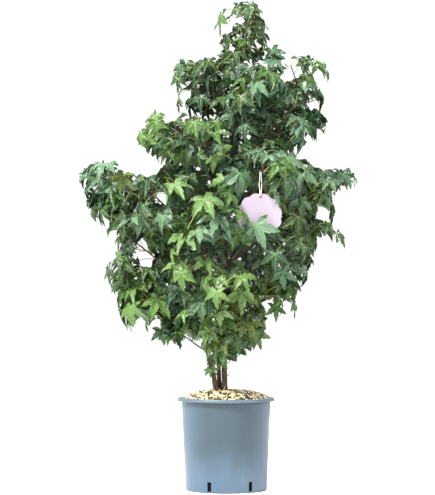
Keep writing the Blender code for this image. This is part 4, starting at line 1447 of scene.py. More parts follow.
@dataclass(frozen=True)
class Outline:
    """How far the crown reaches to the left and the right as seen from the front, by height, and its gaps."""

    rows: tuple[tuple[float, float, float], ...] = (
        (0.335, -0.045, 0.010), (0.361, -0.058, 0.028), (0.384, -0.110, 0.060), (0.396, -0.140, 0.078),
        (0.419, -0.196, 0.106), (0.431, -0.275, 0.110), (0.465, -0.292, 0.143), (0.480, -0.298, 0.198),
        (0.534, -0.315, 0.204), (0.560, -0.322, 0.212), (0.575, -0.344, 0.218), (0.626, -0.343, 0.235),
        (0.649, -0.323, 0.258), (0.680, -0.320, 0.264), (0.690, -0.326, 0.346), (0.719, -0.340, 0.340),
        (0.742, -0.352, 0.312), (0.765, -0.375, 0.313), (0.788, -0.385, 0.308), (0.811, -0.414, 0.305),
        (0.840, -0.410, 0.312), (0.857, -0.416, 0.362), (0.880, -0.432, 0.374), (0.912, -0.432, 0.370),
        (0.940, -0.395, 0.340), (0.952, -0.205, 0.222), (0.972, -0.236, 0.216), (0.995, -0.248, 0.254),
        (1.018, -0.254, 0.284), (1.041, -0.251, 0.284), (1.064, -0.230, 0.298), (1.087, -0.210, 0.290),
        (1.112, -0.152, 0.280), (1.133, -0.146, 0.277), (1.156, -0.166, 0.298), (1.179, -0.163, 0.299),
        (1.202, -0.159, 0.292), (1.225, -0.140, 0.290), (1.250, -0.138, 0.264), (1.262, -0.100, 0.240),
        (1.274, -0.018, 0.205), (1.295, -0.016, 0.142), (1.318, -0.015, 0.121), (1.360, -0.010, 0.112),
        (1.387, 0.015, 0.104), (1.410, 0.018, 0.084),
    )

    gaps: tuple[tuple[float, float, float], ...] = (
        (-0.244, 0.936, 0.036), (0.340, 0.821, 0.037), (-0.092, 0.372, 0.036), (0.289, 0.683, 0.031),
        (0.242, 0.968, 0.028), (-0.051, 1.276, 0.031), (0.170, 0.469, 0.028), (-0.247, 0.429, 0.027),
        (-0.345, 0.671, 0.030), (-0.178, 1.112, 0.028), (0.277, 0.792, 0.019), (0.271, 0.948, 0.027),
        (0.185, 1.267, 0.021), (-0.270, 0.948, 0.040), (0.176, 0.510, 0.018), (-0.210, 0.922, 0.022),
        (-0.158, 0.395, 0.022), (-0.158, 1.071, 0.016), (-0.244, 0.472, 0.016), (0.127, 0.461, 0.016),
        (-0.198, 0.473, 0.020), (-0.109, 0.406, 0.020), (0.297, 1.140, 0.021), (0.332, 0.743, 0.021),
        (0.326, 0.939, 0.019), (-0.403, 0.783, 0.019), (-0.234, 0.668, 0.021), (0.130, 0.536, 0.013),
        (0.001, 1.394, 0.019), (-0.351, 0.708, 0.020), (0.300, 1.094, 0.018), (-0.158, 1.138, 0.016),
        (-0.185, 0.836, 0.018), (0.122, 1.284, 0.013), (0.170, 1.184, 0.012), (-0.325, 0.729, 0.012),
        (-0.417, 0.838, 0.017), (0.323, 0.691, 0.022), (-0.204, 0.412, 0.016), (-0.115, 1.261, 0.016),
        (0.237, 0.996, 0.016), (0.047, 0.366, 0.016), (0.136, 1.319, 0.016), (-0.331, 0.547, 0.016),
        (-0.031, 1.302, 0.019), (0.271, 1.014, 0.012), (0.101, 1.405, 0.016), (0.035, 1.354, 0.011),
        (-0.243, 0.701, 0.016), (0.264, 0.704, 0.018), (0.186, 1.194, 0.016), (0.264, 1.191, 0.014),
        (0.253, 1.107, 0.014), (0.109, 0.531, 0.014), (0.209, 1.205, 0.012), (-0.217, 0.649, 0.012),
        (0.008, 1.335, 0.013), (-0.084, 1.246, 0.012), (-0.116, 1.136, 0.012), (0.206, 0.543, 0.012),
    )

    def is_sky(self, across: float, height: float) -> bool:
        """Tell whether a place in the front view lies in one of the crown's gaps."""
        return any((across - x) ** 2 + (height - z) ** 2 < radius ** 2 for x, z, radius in self.gaps)

    def holds(self, across: float, height: float, margin: float = 0.0) -> bool:
        """Tell whether a place in the front view lies in the crown.

        Args:
            across: Its place from left to right.
            height: Its height.
            margin: How far outside it may lie.

        Returns:
            Whether it does.
        """
        if not self.rows[0][0] <= height <= self.rows[-1][0] + margin:
            return False
        height = min(height, self.rows[-1][0])
        for low, high in zip(self.rows, self.rows[1:]):
            if low[0] <= height <= high[0]:
                share = (height - low[0]) / (high[0] - low[0])
                left = low[1] + (high[1] - low[1]) * share
                right = low[2] + (high[2] - low[2]) * share
                return left - margin <= across <= right + margin
        return False


@dataclass
class Cover:
    """The parts of the crown's front view that no leaf covers yet, in small cells."""

    view: Viewpoint
    outline: Outline
    cell: float = 9 * MM
    leaf_reach: float = 72 * MM
    bare: set[tuple[int, int]] = field(default_factory=set)

    def __post_init__(self) -> None:
        """List the cells of the crown."""
        low, high = self.outline.rows[0][0], self.outline.rows[-1][0]
        left, right = min(row[1] for row in self.outline.rows), max(row[2] for row in self.outline.rows)
        for i in range(round(left / self.cell), round(right / self.cell) + 1):
            for k in range(round(low / self.cell), round(high / self.cell) + 1):
                spot = (i * self.cell, k * self.cell)
                if self.outline.holds(*spot) and not self.outline.is_sky(*spot):
                    self.bare.add((i, k))

    def bare_near(self, point: Vector) -> int:
        """Count the bare cells that a leaf from a bud could reach."""
        x, z = self.view.seen(point)
        i, k = round(x / self.cell), round(z / self.cell)
        reach = round(self.leaf_reach / self.cell)
        return sum(1 for cell in self.bare if abs(cell[0] - i) <= reach and abs(cell[1] - k) <= reach)

    def gained(self, foot: Vector, tips: list[Vector]) -> set[tuple[int, int]]:
        """Return the bare cells that a leaf would cover.

        Args:
            foot: The foot of its blade.
            tips: The tips of its lobes.

        Returns:
            The cells.
        """
        spots = [foot.lerp(tip, share) for tip in tips for share in (0.1, 0.35, 0.6, 0.85)]
        seen = [self.view.seen(spot) for spot in spots]
        return {(round(x / self.cell), round(z / self.cell)) for x, z in seen} & self.bare


@dataclass
class Bow:
    """How a blade is bowed: its margin over its veins, its tips down, and each lobe by itself."""

    fold: float
    curl: float
    roll: float
    bends: np.ndarray
    twists: np.ndarray
    ripple: np.ndarray

    @classmethod
    def thrown(cls, dice: random.Random) -> "Bow":
        """Return a bow thrown with the dice."""
        bends = np.array([dice.uniform(-0.14, 0.34) for _ in range(5)])
        twists = np.array([dice.uniform(-0.7, 0.7) for _ in range(5)])
        ripple = np.array([dice.uniform(-0.03, 0.03) for _ in range(64)])
        return cls(dice.uniform(0.06, 0.20), dice.uniform(0.08, 0.5), dice.uniform(-0.3, 0.3), bends, twists, ripple)


@dataclass
class Leaf:
    """One leaf: its stalk, where its blade hangs and how it is turned, its length and its bow."""

    stalk: list[Vector]
    foot: Vector
    tip_way: Vector
    upper_side: Vector
    length: float
    bow: Bow
    share: float
    spray: int = 0

    @property
    def side(self) -> Vector:
        """The way to the blade's side."""
        return self.tip_way.cross(self.upper_side).normalized()

    @property
    def middle(self) -> Vector:
        """The middle of the blade."""
        return self.foot + self.tip_way * self.length * 0.35

    def corners(self, sheet: LeafSheet) -> np.ndarray:
        """Return the corners of the blade in their place."""
        heights = sheet.heights(self.bow)
        side, tip, upper = (np.array(way) for way in (self.side, self.tip_way, self.upper_side))
        shape = sheet.flat[:, :1] * side + sheet.flat[:, 1:] * tip + heights[:, None] * upper
        return np.array(self.foot) + shape * self.length


@dataclass
class Spray:
    """A twig with the leaves that it bears."""

    line: Line
    mass: Mass
    order: int
    parent: int | None = None
    share: float = 0.0
    tone: LeafTone = LeafTone.MID


@dataclass(frozen=True)
class HungLeaf:
    """A leaf hung at a given place: its foot and its twig from there, its ways, its length and its colour."""

    place: tuple[float, float, float]
    root: tuple[float, float, float]
    tip_way: tuple[float, float, float]
    upper_side: tuple[float, float, float]
    length: float
    tone: LeafTone


@dataclass
class Crown:
    """All twigs and leaves, grown on from the boughs and the stem tips."""

    frame: Framework
    view: Viewpoint
    outline: Outline = field(default_factory=Outline)
    leaf_count: int = 760
    late_count: int = 130
    late_gain: int = 4
    room: tuple[float, float] = (1.06, 16 * MM)
    late_room: tuple[float, float] = (1.2, 30 * MM)
    cover_weight: float = 0.09
    overhang: float = 3 * MM
    leaf_length: float = 66 * MM
    leaf_sizes: tuple[float, float] = (0.74, 1.16)
    tip_leaf_share: float = 0.25
    inner_reach: float = 0.55
    stalk_share: tuple[float, float] = (0.65, 1.15)
    stalk_radius: float = 0.95 * MM
    vein_width: float = 1.0 * MM
    twig_step: float = 34 * MM
    first_twig: float = 0.1
    twig_splay: float = math.radians(62)
    twig_radii: tuple[float, float] = (1.9 * MM, 1.0 * MM)
    fine_radii: tuple[float, float] = (1.1 * MM, 0.7 * MM)
    twig_lift: float = 0.35
    twig_reach: tuple[float, float] = (0.75, 1.0)
    bud_step: float = 13 * MM
    droop: tuple[float, float] = (math.radians(22), math.radians(86))
    tries: int = 46
    late_tries: int = 20
    seed: int = 23
    late_seed: int = 23
    luck: tuple[int, ...] = (
        20, 15, 14, 3, 7, 9, 12, 10, 13, 11, 3, 8, 5, 2, 6, 10, 3, 3, 9, 8, 10, 6, 0, 12, 5, 14, 15, 10,
    )
    sprout_height: float = 0.338
    sprout_leaves: int = 5
    stubs: tuple[tuple[str, float, tuple[float, float, float], tuple[float, float, float]], ...] = (
        ("stem_right", 0.360, (0.024, -0.006, 0.022), (0.008, -0.002, -0.008)),
        ("stem_right", 0.326, (0.011, -0.004, 0.005), (0.004, 0.0, 0.004)),
        ("stem_left", 0.362, (-0.009, -0.004, 0.014), (-0.004, 0.0, -0.004)),
    )
    tag_leaves: tuple[HungLeaf, ...] = (
        HungLeaf((-0.007, -0.020, -0.027), (-0.062, 0.026, -0.022), (0.32, -0.14, -0.94), (-0.2, -0.97, 0.1),
                 72 * MM, LeafTone.GREY),
        HungLeaf((0.008, -0.009, -0.044), (0.060, 0.030, -0.040), (0.10, -0.10, -0.99), (0.1, -0.97, 0.2),
                 60 * MM, LeafTone.INK),
        HungLeaf((-0.058, -0.012, -0.046), (-0.030, 0.040, 0.010), (-0.30, -0.20, -0.93), (-0.1, -0.95, 0.3),
                 58 * MM, LeafTone.MID),
    )
    top_leaves: tuple[HungLeaf, ...] = (
        HungLeaf((-0.013, -0.012, 1.366), (0.034, 0.006, 0.004), (-0.18, -0.12, -0.97), (-0.94, -0.26, 0.2),
                 62 * MM, LeafTone.MID),
        HungLeaf((0.100, -0.012, 1.318), (-0.026, 0.006, 0.004), (0.40, -0.10, -0.90), (0.80, -0.55, 0.3),
                 52 * MM, LeafTone.DEEP),
        HungLeaf((0.133, -0.016, 1.266), (-0.036, 0.012, -0.006), (0.42, -0.16, -0.90), (0.2, -0.93, 0.3),
                 46 * MM, LeafTone.BLUE),
        HungLeaf((-0.337, -0.020, 0.636), (0.030, 0.020, 0.014), (0.05, -0.10, -0.99), (-0.93, -0.28, 0.1),
                 58 * MM, LeafTone.DEEP),
        HungLeaf((-0.187, -0.030, 0.460), (0.008, 0.012, 0.030), (0.25, -0.15, -0.95), (0.1, -0.95, 0.2),
                 46 * MM, LeafTone.DEEP),
        HungLeaf((-0.152, -0.030, 0.470), (0.004, 0.012, 0.024), (0.30, -0.10, -0.95), (0.90, -0.35, 0.3),
                 72 * MM, LeafTone.BLUE),
        HungLeaf((0.190, -0.020, 0.536), (-0.016, 0.010, 0.016), (0.24, -0.10, -0.96), (0.90, -0.30, 0.2),
                 48 * MM, LeafTone.MID),
        HungLeaf((0.082, -0.060, 0.452), (-0.026, 0.020, 0.020), (0.34, -0.20, -0.92), (0.2, -0.93, 0.2),
                 54 * MM, LeafTone.GRASS),
        HungLeaf((0.140, -0.030, 0.526), (-0.020, 0.010, 0.020), (0.12, -0.15, -0.97), (0.5, -0.82, 0.2),
                 46 * MM, LeafTone.MID),
        HungLeaf((-0.222, -0.030, 1.016), (0.020, 0.016, 0.010), (-0.12, -0.20, -0.97), (-0.4, -0.85, 0.3),
                 46 * MM, LeafTone.DEEP),
        HungLeaf((0.320, -0.020, 0.736), (-0.028, 0.010, 0.004), (0.52, -0.12, -0.85), (0.75, -0.45, 0.5),
                 48 * MM, LeafTone.MID),
    )
    card_width: float = 30 * MM
    card_drop: float = 60 * MM
    sprays: list[Spray] = field(default_factory=list)
    leaves: list[Leaf] = field(default_factory=list)
    keep_clear: list[BVHTree] = field(default_factory=list)
    cover: Cover | None = None

    def grow(self) -> None:
        """Grow the sprays and leaves of every mass."""
        limbs = [shell(line.points, [r + 0.8 * MM for r in line.radii], 6) for line in self.frame.limbs.values()]
        self.keep_clear += limbs
        self.cover = Cover(self.view, self.outline)
        total = sum(mass.size for mass in self.frame.masses)
        for index, mass in enumerate(self.frame.masses):
            dice = random.Random(self.seed + index + 100 * self.luck[index])
            sprays = self._grow_sprays(mass, dice)
            share = mass.size / mass.tier.leaf_scale ** 2 / total
            self._grow_leaves(mass, sprays, round(self.leaf_count * share), dice)
        LOG.info("%d bare cells after %d leaves", len(self.cover.bare), len(self.leaves))
        self._grow_late_leaves()
        LOG.info("%d bare cells after %d leaves", len(self.cover.bare), len(self.leaves))

    def _grow_sprays(self, mass: Mass, dice: random.Random) -> list[Spray]:
        """Grow a mass's twigs: its leader, side twigs round it, and finer twigs on those."""
        space = self.frame.spaces[mass.name]
        leader = Spray(self.frame.leaders[mass.name].finer(12 * MM), mass, 0)
        sprays = [leader]
        first = len(self.sprays)
        reach = math.sqrt(mass.size)
        count = max(4, round(leader.line.length / self.twig_step))
        for k in range(count):
            share = self.first_twig + (1 - self.first_twig) * k / count
            for shorter in (1.0, 0.75, 0.55, 0.4):
                length = reach * dice.uniform(*self.twig_reach) * shorter
                line = self._twig(leader.line, share, k * 2.4, length, self.twig_radii, dice)
                if space.holds(line.points[1:], 0.93, 12 * MM) and self._is_open(line.points[1:]):
                    sprays.append(Spray(line, mass, 1, first, share))
                    break
        for index, spray in enumerate(list(sprays)):
            fine = max(1, round(spray.line.length / (46 * MM)))
            for k in range(fine):
                share = 0.3 + 0.6 * (k + dice.random() * 0.6) / fine
                length = dice.uniform(34, 66) * MM
                line = self._twig(spray.line, share, k * 2.4 + 1.1, length, self.fine_radii, dice)
                if space.holds(line.points[1:], 0.97, 15 * MM) and self._is_open(line.points[1:]):
                    sprays.append(Spray(line, mass, 2, first + index, share))
        for spray in sprays:
            inner = space.depth(spray.line.at(0.7)[0]) < self.inner_reach
            spray.tone = self._tone(mass, inner, dice)
        self.sprays += sprays
        return sprays

    def _twig(self, parent: Line, share: float, turn: float, length: float, radii: tuple[float, float],
              dice: random.Random) -> Line:
        """Grow one twig that leaves its parent at a slant and curves up a little.

        Args:
            parent: The line that it grows on.
            share: Where on it.
            turn: The way round it, in radians.
            length: The twig's length.
            radii: Its radius at the root and the tip.
            dice: The seeded dice.

        Returns:
            The twig.
        """
        root, along, parent_radius = parent.at(share)
        across = along.orthogonal().normalized()
        away = Matrix.Rotation(turn + dice.uniform(-0.4, 0.4), 3, along) @ across
        way = (along * math.cos(self.twig_splay) + away * math.sin(self.twig_splay)).normalized()
        rise = (way + UP * self.twig_lift + outward(root) * 0.15).normalized()
        points = [root + way * parent_radius * 0.4]
        for k in range(1, 5):
            step = way.lerp(rise, k / 4).normalized()
            step = step + Vector([dice.uniform(-0.09, 0.09) for _ in range(3)])
            points.append(points[-1] + step.normalized() * length / 4)
        root_radius = min(radii[0], parent_radius * 0.8)
        spread = [root_radius + (radii[1] - root_radius) * k / 4 for k in range(5)]
        return Line(points, spread)

    def _tone(self, mass: Mass, inner: bool, dice: random.Random) -> LeafTone:
        """Deal a spray its colour: bluer and darker high up, lighter and fresher low down, partly as painted light,
        and darkest inside as painted shade, partly the darker green of shaded leaves.

        Args:
            mass: The mass that the spray is in.
            inner: Whether the spray lies inside it, away from the skin.
            dice: The seeded dice.

        Returns:
            The colour.
        """
        high = min(1.0, max(0.0, (mass.centre.z - 0.45) / 0.75))
        # Painted shade: inside a mass the dark tones come three times as often, standing for the shade inside the
        # crown as well as the darker green of shaded leaves.
        dark = 3.0 if inner else 1.0
        weights = {
            LeafTone.DEEP: (0.08 + 0.18 * high) * dark,
            LeafTone.INK: (0.05 + 0.18 * high) * dark,
            LeafTone.BLUE: 0.06 + 0.14 * high,
            LeafTone.GREY: 0.08 + 0.04 * high,
            # Painted light, in part: the fresher, lighter tones come more often low down, standing for light through
            # the leaves above as well as their own fresh green.
            LeafTone.MID: 0.22 - 0.04 * high,
            LeafTone.GRASS: 0.23 - 0.18 * high,
            LeafTone.FRESH: 0.20 - 0.18 * high,
            LeafTone.LIME: 0.11 - 0.10 * high,
            LeafTone.OLIVE: 0.08 - 0.04 * high,
        }
        return dice.choices(list(weights), list(weights.values()))[0]

    def _is_open(self, points: list[Vector], margin: float = 0.0) -> bool:
        """Tell whether points lie in the crown as the front shows it, and in none of its gaps."""
        for point in points:
            across, height = self.view.seen(point)
            if not self.outline.holds(across, height, margin) or self.outline.is_sky(across, height):
                return False
        return True

    def _leaf_try(self, spray: Spray, share: float, turn: float, dice: random.Random) -> Leaf | None:
        """Turn one leaf that could grow at a bud.

        Args:
            spray: The twig that bears it.
            share: Where on the twig.
            turn: The way round it, in radians.
            dice: The seeded dice.

        Returns:
            The leaf, or None where its stalk would be bent back.
        """
        root, along, radius = spray.line.at(share)
        length = self.leaf_length * spray.mass.tier.leaf_scale * dice.uniform(*self.leaf_sizes)
        length *= 1 - self.tip_leaf_share * share ** 3
        away = Matrix.Rotation(turn + dice.uniform(-0.5, 0.5), 3, along) @ along.orthogonal().normalized()
        stalk = (along * dice.uniform(0.1, 0.9) + away + UP * 0.35).normalized()
        reach = length * dice.uniform(*self.stalk_share)
        start = root + away * radius * 0.5
        bend = start + stalk * reach * 0.6
        foot = start + stalk * reach * 0.93 - UP * reach * dice.uniform(0.02, 0.22)
        level = Vector((stalk.x, stalk.y, 0)).normalized() * 0.6 + outward(foot) * 0.8
        heading = Matrix.Rotation(dice.uniform(-0.8, 0.8), 3, "Z") @ level.normalized()
        droop = dice.uniform(*self.droop)
        tip_way = heading * math.cos(droop) - UP * math.sin(droop)
        upper_side = heading * math.sin(droop) + UP * math.cos(droop)
        upper_side.rotate(Matrix.Rotation(dice.uniform(-0.6, 0.6), 3, tip_way))
        if stalk.dot(tip_way) < -0.35:
            return None
        points = [start, start.lerp(bend, 0.5) + UP * reach * 0.03, bend, foot]
        return Leaf(points, foot, tip_way, upper_side, length, Bow.thrown(dice), share)

    def _buds(self, sprays: list[Spray], dice: random.Random) -> list[tuple[int, float, float]]:
        """List where leaves can grow on some sprays: the spray's number, its share and the way round it."""
        buds = []
        for spray in sprays:
            number = max(2, round(spray.line.length / self.bud_step))
            for k in range(number):
                share = 1 - (k + 0.2) / number
                if spray.order == 0 or share > 0.2:
                    buds.append((self.sprays.index(spray), share, k * 2.51))
        dice.shuffle(buds)
        return buds

    def _best_leaf(self, bud: tuple[int, float, float], turn: float, near: list[Leaf], least: int,
                   room: tuple[float, float], dice: random.Random) -> Leaf | None:
        """Grow a leaf at a bud, the best of its tries that has room.

        Args:
            bud: The number of the spray, the share of its line and the way round it.
            turn: How much further round the leaf grows, in radians.
            near: The leaves that it keeps apart from.
            least: How many bare cells it has to cover.
            room: How deep in its mass's space it may lie, with 1 at the skin, and how far past a wall.
            dice: The seeded dice.

        Returns:
            The leaf, or None where none has room.
        """
        index, share, angle = bud
        spray = self.sprays[index]
        space = self.frame.spaces[spray.mass.name]
        best = None
        for _ in range(self.late_tries if least else self.tries):
            leaf = self._leaf_try(spray, share, angle + turn, dice)
            if leaf is None:
                continue
            tips = [self._tip(leaf, lobe) for lobe in range(5)]
            if not space.holds([leaf.foot] + tips, *room):
                continue
            if not self._is_open([leaf.foot] + tips, self.overhang):
                continue
            if not self._is_open([leaf.foot.lerp(tip, part) for tip in tips for part in (0.4, 0.7)]):
                continue
            gain = len(self.cover.gained(leaf.foot, tips))
            if gain < least:
                continue
            score = self._score(leaf, tips, near, space) + self.cover_weight * gain
            if (best is None or score > best[0]) and self._is_clear([leaf.foot] + tips):
                best = (score, leaf, tips)
        if best is None:
            return None
        self.cover.bare -= self.cover.gained(best[1].foot, best[2])
        best[1].spray = index
        return best[1]

    def _grow_leaves(self, mass: Mass, sprays: list[Spray], count: int, dice: random.Random) -> None:
        """Grow a mass's leaves at its buds."""
        buds = self._buds(sprays, dice)
        grown: list[Leaf] = []
        for turn in range(3):
            for bud in buds:
                if len(grown) >= count:
                    break
                leaf = self._best_leaf(bud, turn * 1.3, grown, 0, self.room, dice)
                if leaf:
                    grown.append(leaf)
        self.leaves += grown

    def _grow_late_leaves(self) -> None:
        """Grow a few more leaves where the front view of the crown is still bare."""
        dice = random.Random(self.late_seed)
        grown: list[Leaf] = []
        for least in (self.late_gain + 3, self.late_gain):
            for bud in self._buds(self.sprays, dice):
                if len(grown) >= self.late_count:
                    break
                if self.cover.bare_near(self.sprays[bud[0]].line.at(bud[1])[0]) < least:
                    continue
                leaf = self._best_leaf(bud, 0.6, grown, least, self.late_room, dice)
                if leaf:
                    grown.append(leaf)
        self.leaves += grown

    def trim(self) -> None:
        """Cut each twig off behind the last leaf or side twig that it bears."""
        used = [0.0] * len(self.sprays)
        for leaf in self.leaves:
            used[leaf.spray] = max(used[leaf.spray], leaf.share)
        kept = {}
        for index in reversed(range(len(self.sprays))):
            spray = self.sprays[index]
            if used[index] > 0 and spray.parent is not None:
                used[spray.parent] = max(used[spray.parent], spray.share)
        for index, spray in enumerate(self.sprays):
            if used[index] > 0:
                kept[index] = len(kept)
                spray.line = spray.line.cut(min(1.0, used[index] + 0.03))
        self.sprays = [spray for index, spray in enumerate(self.sprays) if index in kept]
        for leaf in self.leaves:
            leaf.spray = kept[leaf.spray]

    def hang_before(self, card: Vector) -> None:
        """Hang the leaves that cover the lower part of the tag.

        Args:
            card: The middle of the card's front.
        """
        places = [(spray.line.at(k / 10)[0], index, k / 10) for index, spray in enumerate(self.sprays)
                  for k in range(1, 10)]
        aside = [place for place in places
                 if abs(place[0].x - card.x) > self.card_width or place[0].z < card.z - self.card_drop]
        self._hang(self.tag_leaves, card, aside)
        self._hang(self.top_leaves, Vector(), places)

    def _hang(self, lot: tuple[HungLeaf, ...], origin: Vector, places: list[tuple[Vector, int, float]]) -> None:
        """Hang some leaves one by one, each from the twig nearest to where it should grow.

        Args:
            lot: The leaves.
            origin: The place that theirs count from.
            places: Where on the twigs they may grow: the place, the spray's number and its share.
        """
        dice = random.Random(self.seed)
        for hung in lot:
            foot = origin + Vector(hung.place)
            root_wish = foot + Vector(hung.root)
            found = [((place - root_wish).length, index, share) for place, index, share in places]
            _, index, share = min(found)
            root = self.sprays[index].line.at(share)[0]
            tip_way = Vector(hung.tip_way).normalized()
            upper_side = Vector(hung.upper_side)
            upper_side = (upper_side - tip_way * upper_side.dot(tip_way)).normalized()
            bow = Bow.thrown(dice)
            bow.curl, bow.fold = 0.08, 0.08
            bow.bends *= 0.3
            bow.twists *= 0.5
            before = foot - tip_way * 20 * MM + Vector(hung.root).normalized() * 12 * MM
            stalk = [root, root.lerp(before, 0.5) + Vector((0, -10 * MM, 0)), before, foot]
            self.leaves.append(Leaf(stalk, foot, tip_way, upper_side, hung.length, bow, share, index))
            self.sprays[index].tone = hung.tone

    def sprout(self) -> None:
        """Grow the small shoot of young leaves low down on the left stem."""
        dice = random.Random(self.seed + 1)
        stem, radius = self.frame.limbs["stem_left"].at_height(self.sprout_height)
        root = crooked(stem, "stem_left") + Vector((-0.5, -0.8, 0)).normalized() * radius * 0.8
        tip = root + Vector((-9 * MM, -6 * MM, 9 * MM))
        mass = next(mass for mass in self.frame.masses if mass.tier.name == "foot")
        shoot = Spray(Line([root, root.lerp(tip, 0.5) + UP * MM, tip], [1.1 * MM, 0.9 * MM, 0.7 * MM]), mass, 1)
        shoot.tone = LeafTone.LIME
        self.sprays.append(shoot)
        for k in range(self.sprout_leaves):
            share = 0.4 + 0.6 * k / (self.sprout_leaves - 1)
            start = shoot.line.at(share)[0]
            turn = math.radians(200 + 62 * k)
            level = Vector((math.cos(turn), math.sin(turn) * 0.6 - 0.3, 0)).normalized()
            foot = start + level * 5 * MM + UP * (2 - k) * 2 * MM
            tip_way = (level - UP * dice.uniform(0.4, 1.3)).normalized()
            upper_side = Vector((-0.2, -0.9, 0.5))
            upper_side = (upper_side - tip_way * upper_side.dot(tip_way)).normalized()
            length = self.leaf_length * dice.uniform(0.26, 0.36)
            stalk = [start, start.lerp(foot, 0.4) + UP * MM, start.lerp(foot, 0.7) + UP * MM, foot]
            self.leaves.append(Leaf(stalk, foot, tip_way, upper_side, length, Bow.thrown(dice), share, len(self.sprays) - 1))

    def add_stubs(self) -> None:
        """Add the bare stubs of twigs low down on the stems."""
        mass = next(mass for mass in self.frame.masses if mass.tier.name == "foot")
        for stem, height, step, side in self.stubs:
            middle, radius = self.frame.limbs[stem].at_height(height)
            way = Vector(step)
            root = crooked(middle, stem) + Vector((way.x, way.y, 0)).normalized() * radius * 0.7
            line = Line([root, root + way * 0.5 + UP * MM, root + way], [1.3 * MM, 1.0 * MM, 0.6 * MM])
            self.sprays.append(Spray(line, mass, 1))
            fork = line.at(0.6)[0]
            branchlet = Line([fork, fork + Vector(side)], [0.8 * MM, 0.5 * MM])
            self.sprays.append(Spray(branchlet, mass, 2))

    def _tip(self, leaf: Leaf, lobe: int) -> Vector:
        """Return the place of a lobe's tip."""
        mould = LeafMould()
        turn, reach = math.radians(mould.ways[lobe]), mould.reaches[lobe]
        flat = leaf.side * math.sin(turn) + leaf.tip_way * math.cos(turn)
        drop = (leaf.bow.curl + leaf.bow.bends[lobe]) * reach ** 2
        return leaf.foot + (flat * reach - leaf.upper_side * drop) * leaf.length

    def _is_clear(self, corners: list[Vector]) -> bool:
        """Tell whether a leaf, given as its foot and the tips of its lobes, meets no limb and not the tag."""
        faces = [(0, k, k + 1) for k in range(1, 5)]
        blade = BVHTree.FromPolygons([tuple(corner) for corner in corners], faces)
        return not any(blade.overlap(tree) for tree in self.keep_clear)

    def _score(self, leaf: Leaf, tips: list[Vector], grown: list[Leaf], space: Space) -> float:
        """Return how well a leaf fills the crown: apart from the others, and near the skin."""
        apart = 1.0
        for other in grown:
            away = leaf.middle - other.middle
            through = away.dot(other.upper_side)
            flat = (away.length_squared - through * through) + (through * 2.2) ** 2
            apart = min(apart, math.sqrt(max(flat, 0)) / (1.25 * leaf.length))
        out = outward(space.mass.centre).dot(leaf.middle - space.mass.centre) / space.mass.half.x
        return apart + 0.45 * max(space.depth(tip) for tip in tips) + 0.3 * out

    def build(self) -> None:
        """Make the meshes of the twigs, stalks, blades and veins."""
        nodes = [mass.name for mass in self.frame.masses]
        twigs = tubes("twigs", [spray.line for spray in self.sprays], 6)
        settle(twigs, 50)
        dress(twigs, TwigBark().material(), "bark", *nodes)
        stalks = [Line(leaf.stalk, [self.stalk_radius * 1.25] + [self.stalk_radius] * 3).finer(14 * MM) for leaf in self.leaves]
        stalk_piece = settle(tubes("leaf_stalks", stalks, 4), 60)
        dress(stalk_piece, PlainSkin("leaf_stalk", paint(132, 138, 72)).material(), "leaves", *nodes)
        sheet = LeafMould().sheet()
        lots: dict[LeafTone, list[np.ndarray]] = {tone: [] for tone in LeafTone}
        ribs, rib_faces = [], []
        for leaf in self.leaves:
            corners = leaf.corners(sheet)
            lots[self.sprays[leaf.spray].tone].append(corners)
            for rib, faces in self._ribs(leaf, corners, sheet):
                ribs.append(rib)
                rib_faces.append(faces)
        for tone, lot in lots.items():
            piece = join_arrays(f"leaves_{tone.name.lower()}", lot, [sheet.faces] * len(lot))
            settle(piece, 8)
            dress(piece, tone.material(), "leaves", *nodes)
        veins = settle(join_arrays("leaf_veins", ribs, rib_faces), 60)
        dress(veins, PlainSkin("leaf_vein", paint(104, 128, 74), 0.5).material(), "leaves", *nodes)

    def _ribs(self, leaf: Leaf, corners: np.ndarray, sheet: LeafSheet) -> list[tuple[np.ndarray, np.ndarray]]:
        """Lay a thin strip along each vein, just over the blade.

        Args:
            leaf: The leaf.
            corners: The blade's corners in their place.
            sheet: The blade laid flat.

        Returns:
            Corners and triangles of each strip.
        """
        strips = []
        upper = np.array(leaf.upper_side)
        for vein in sheet.veins:
            line = corners[vein]
            along = line[-1] - line[0]
            side = np.cross(along, upper)
            side /= np.linalg.norm(side)
            widths = self.vein_width * np.array([1.0, 0.85, 0.65, 0.45, 0.1])[:, None] * 0.5
            lifted = line + upper * 0.35 * MM
            strip = np.concatenate([lifted - side * widths, lifted + side * widths])
            count = len(line)
            faces = []
            for k in range(count - 1):
                faces += [(k, k + 1, count + k), (k + 1, count + k + 1, count + k)]
            strips.append((strip, np.array(faces)))
        return strips


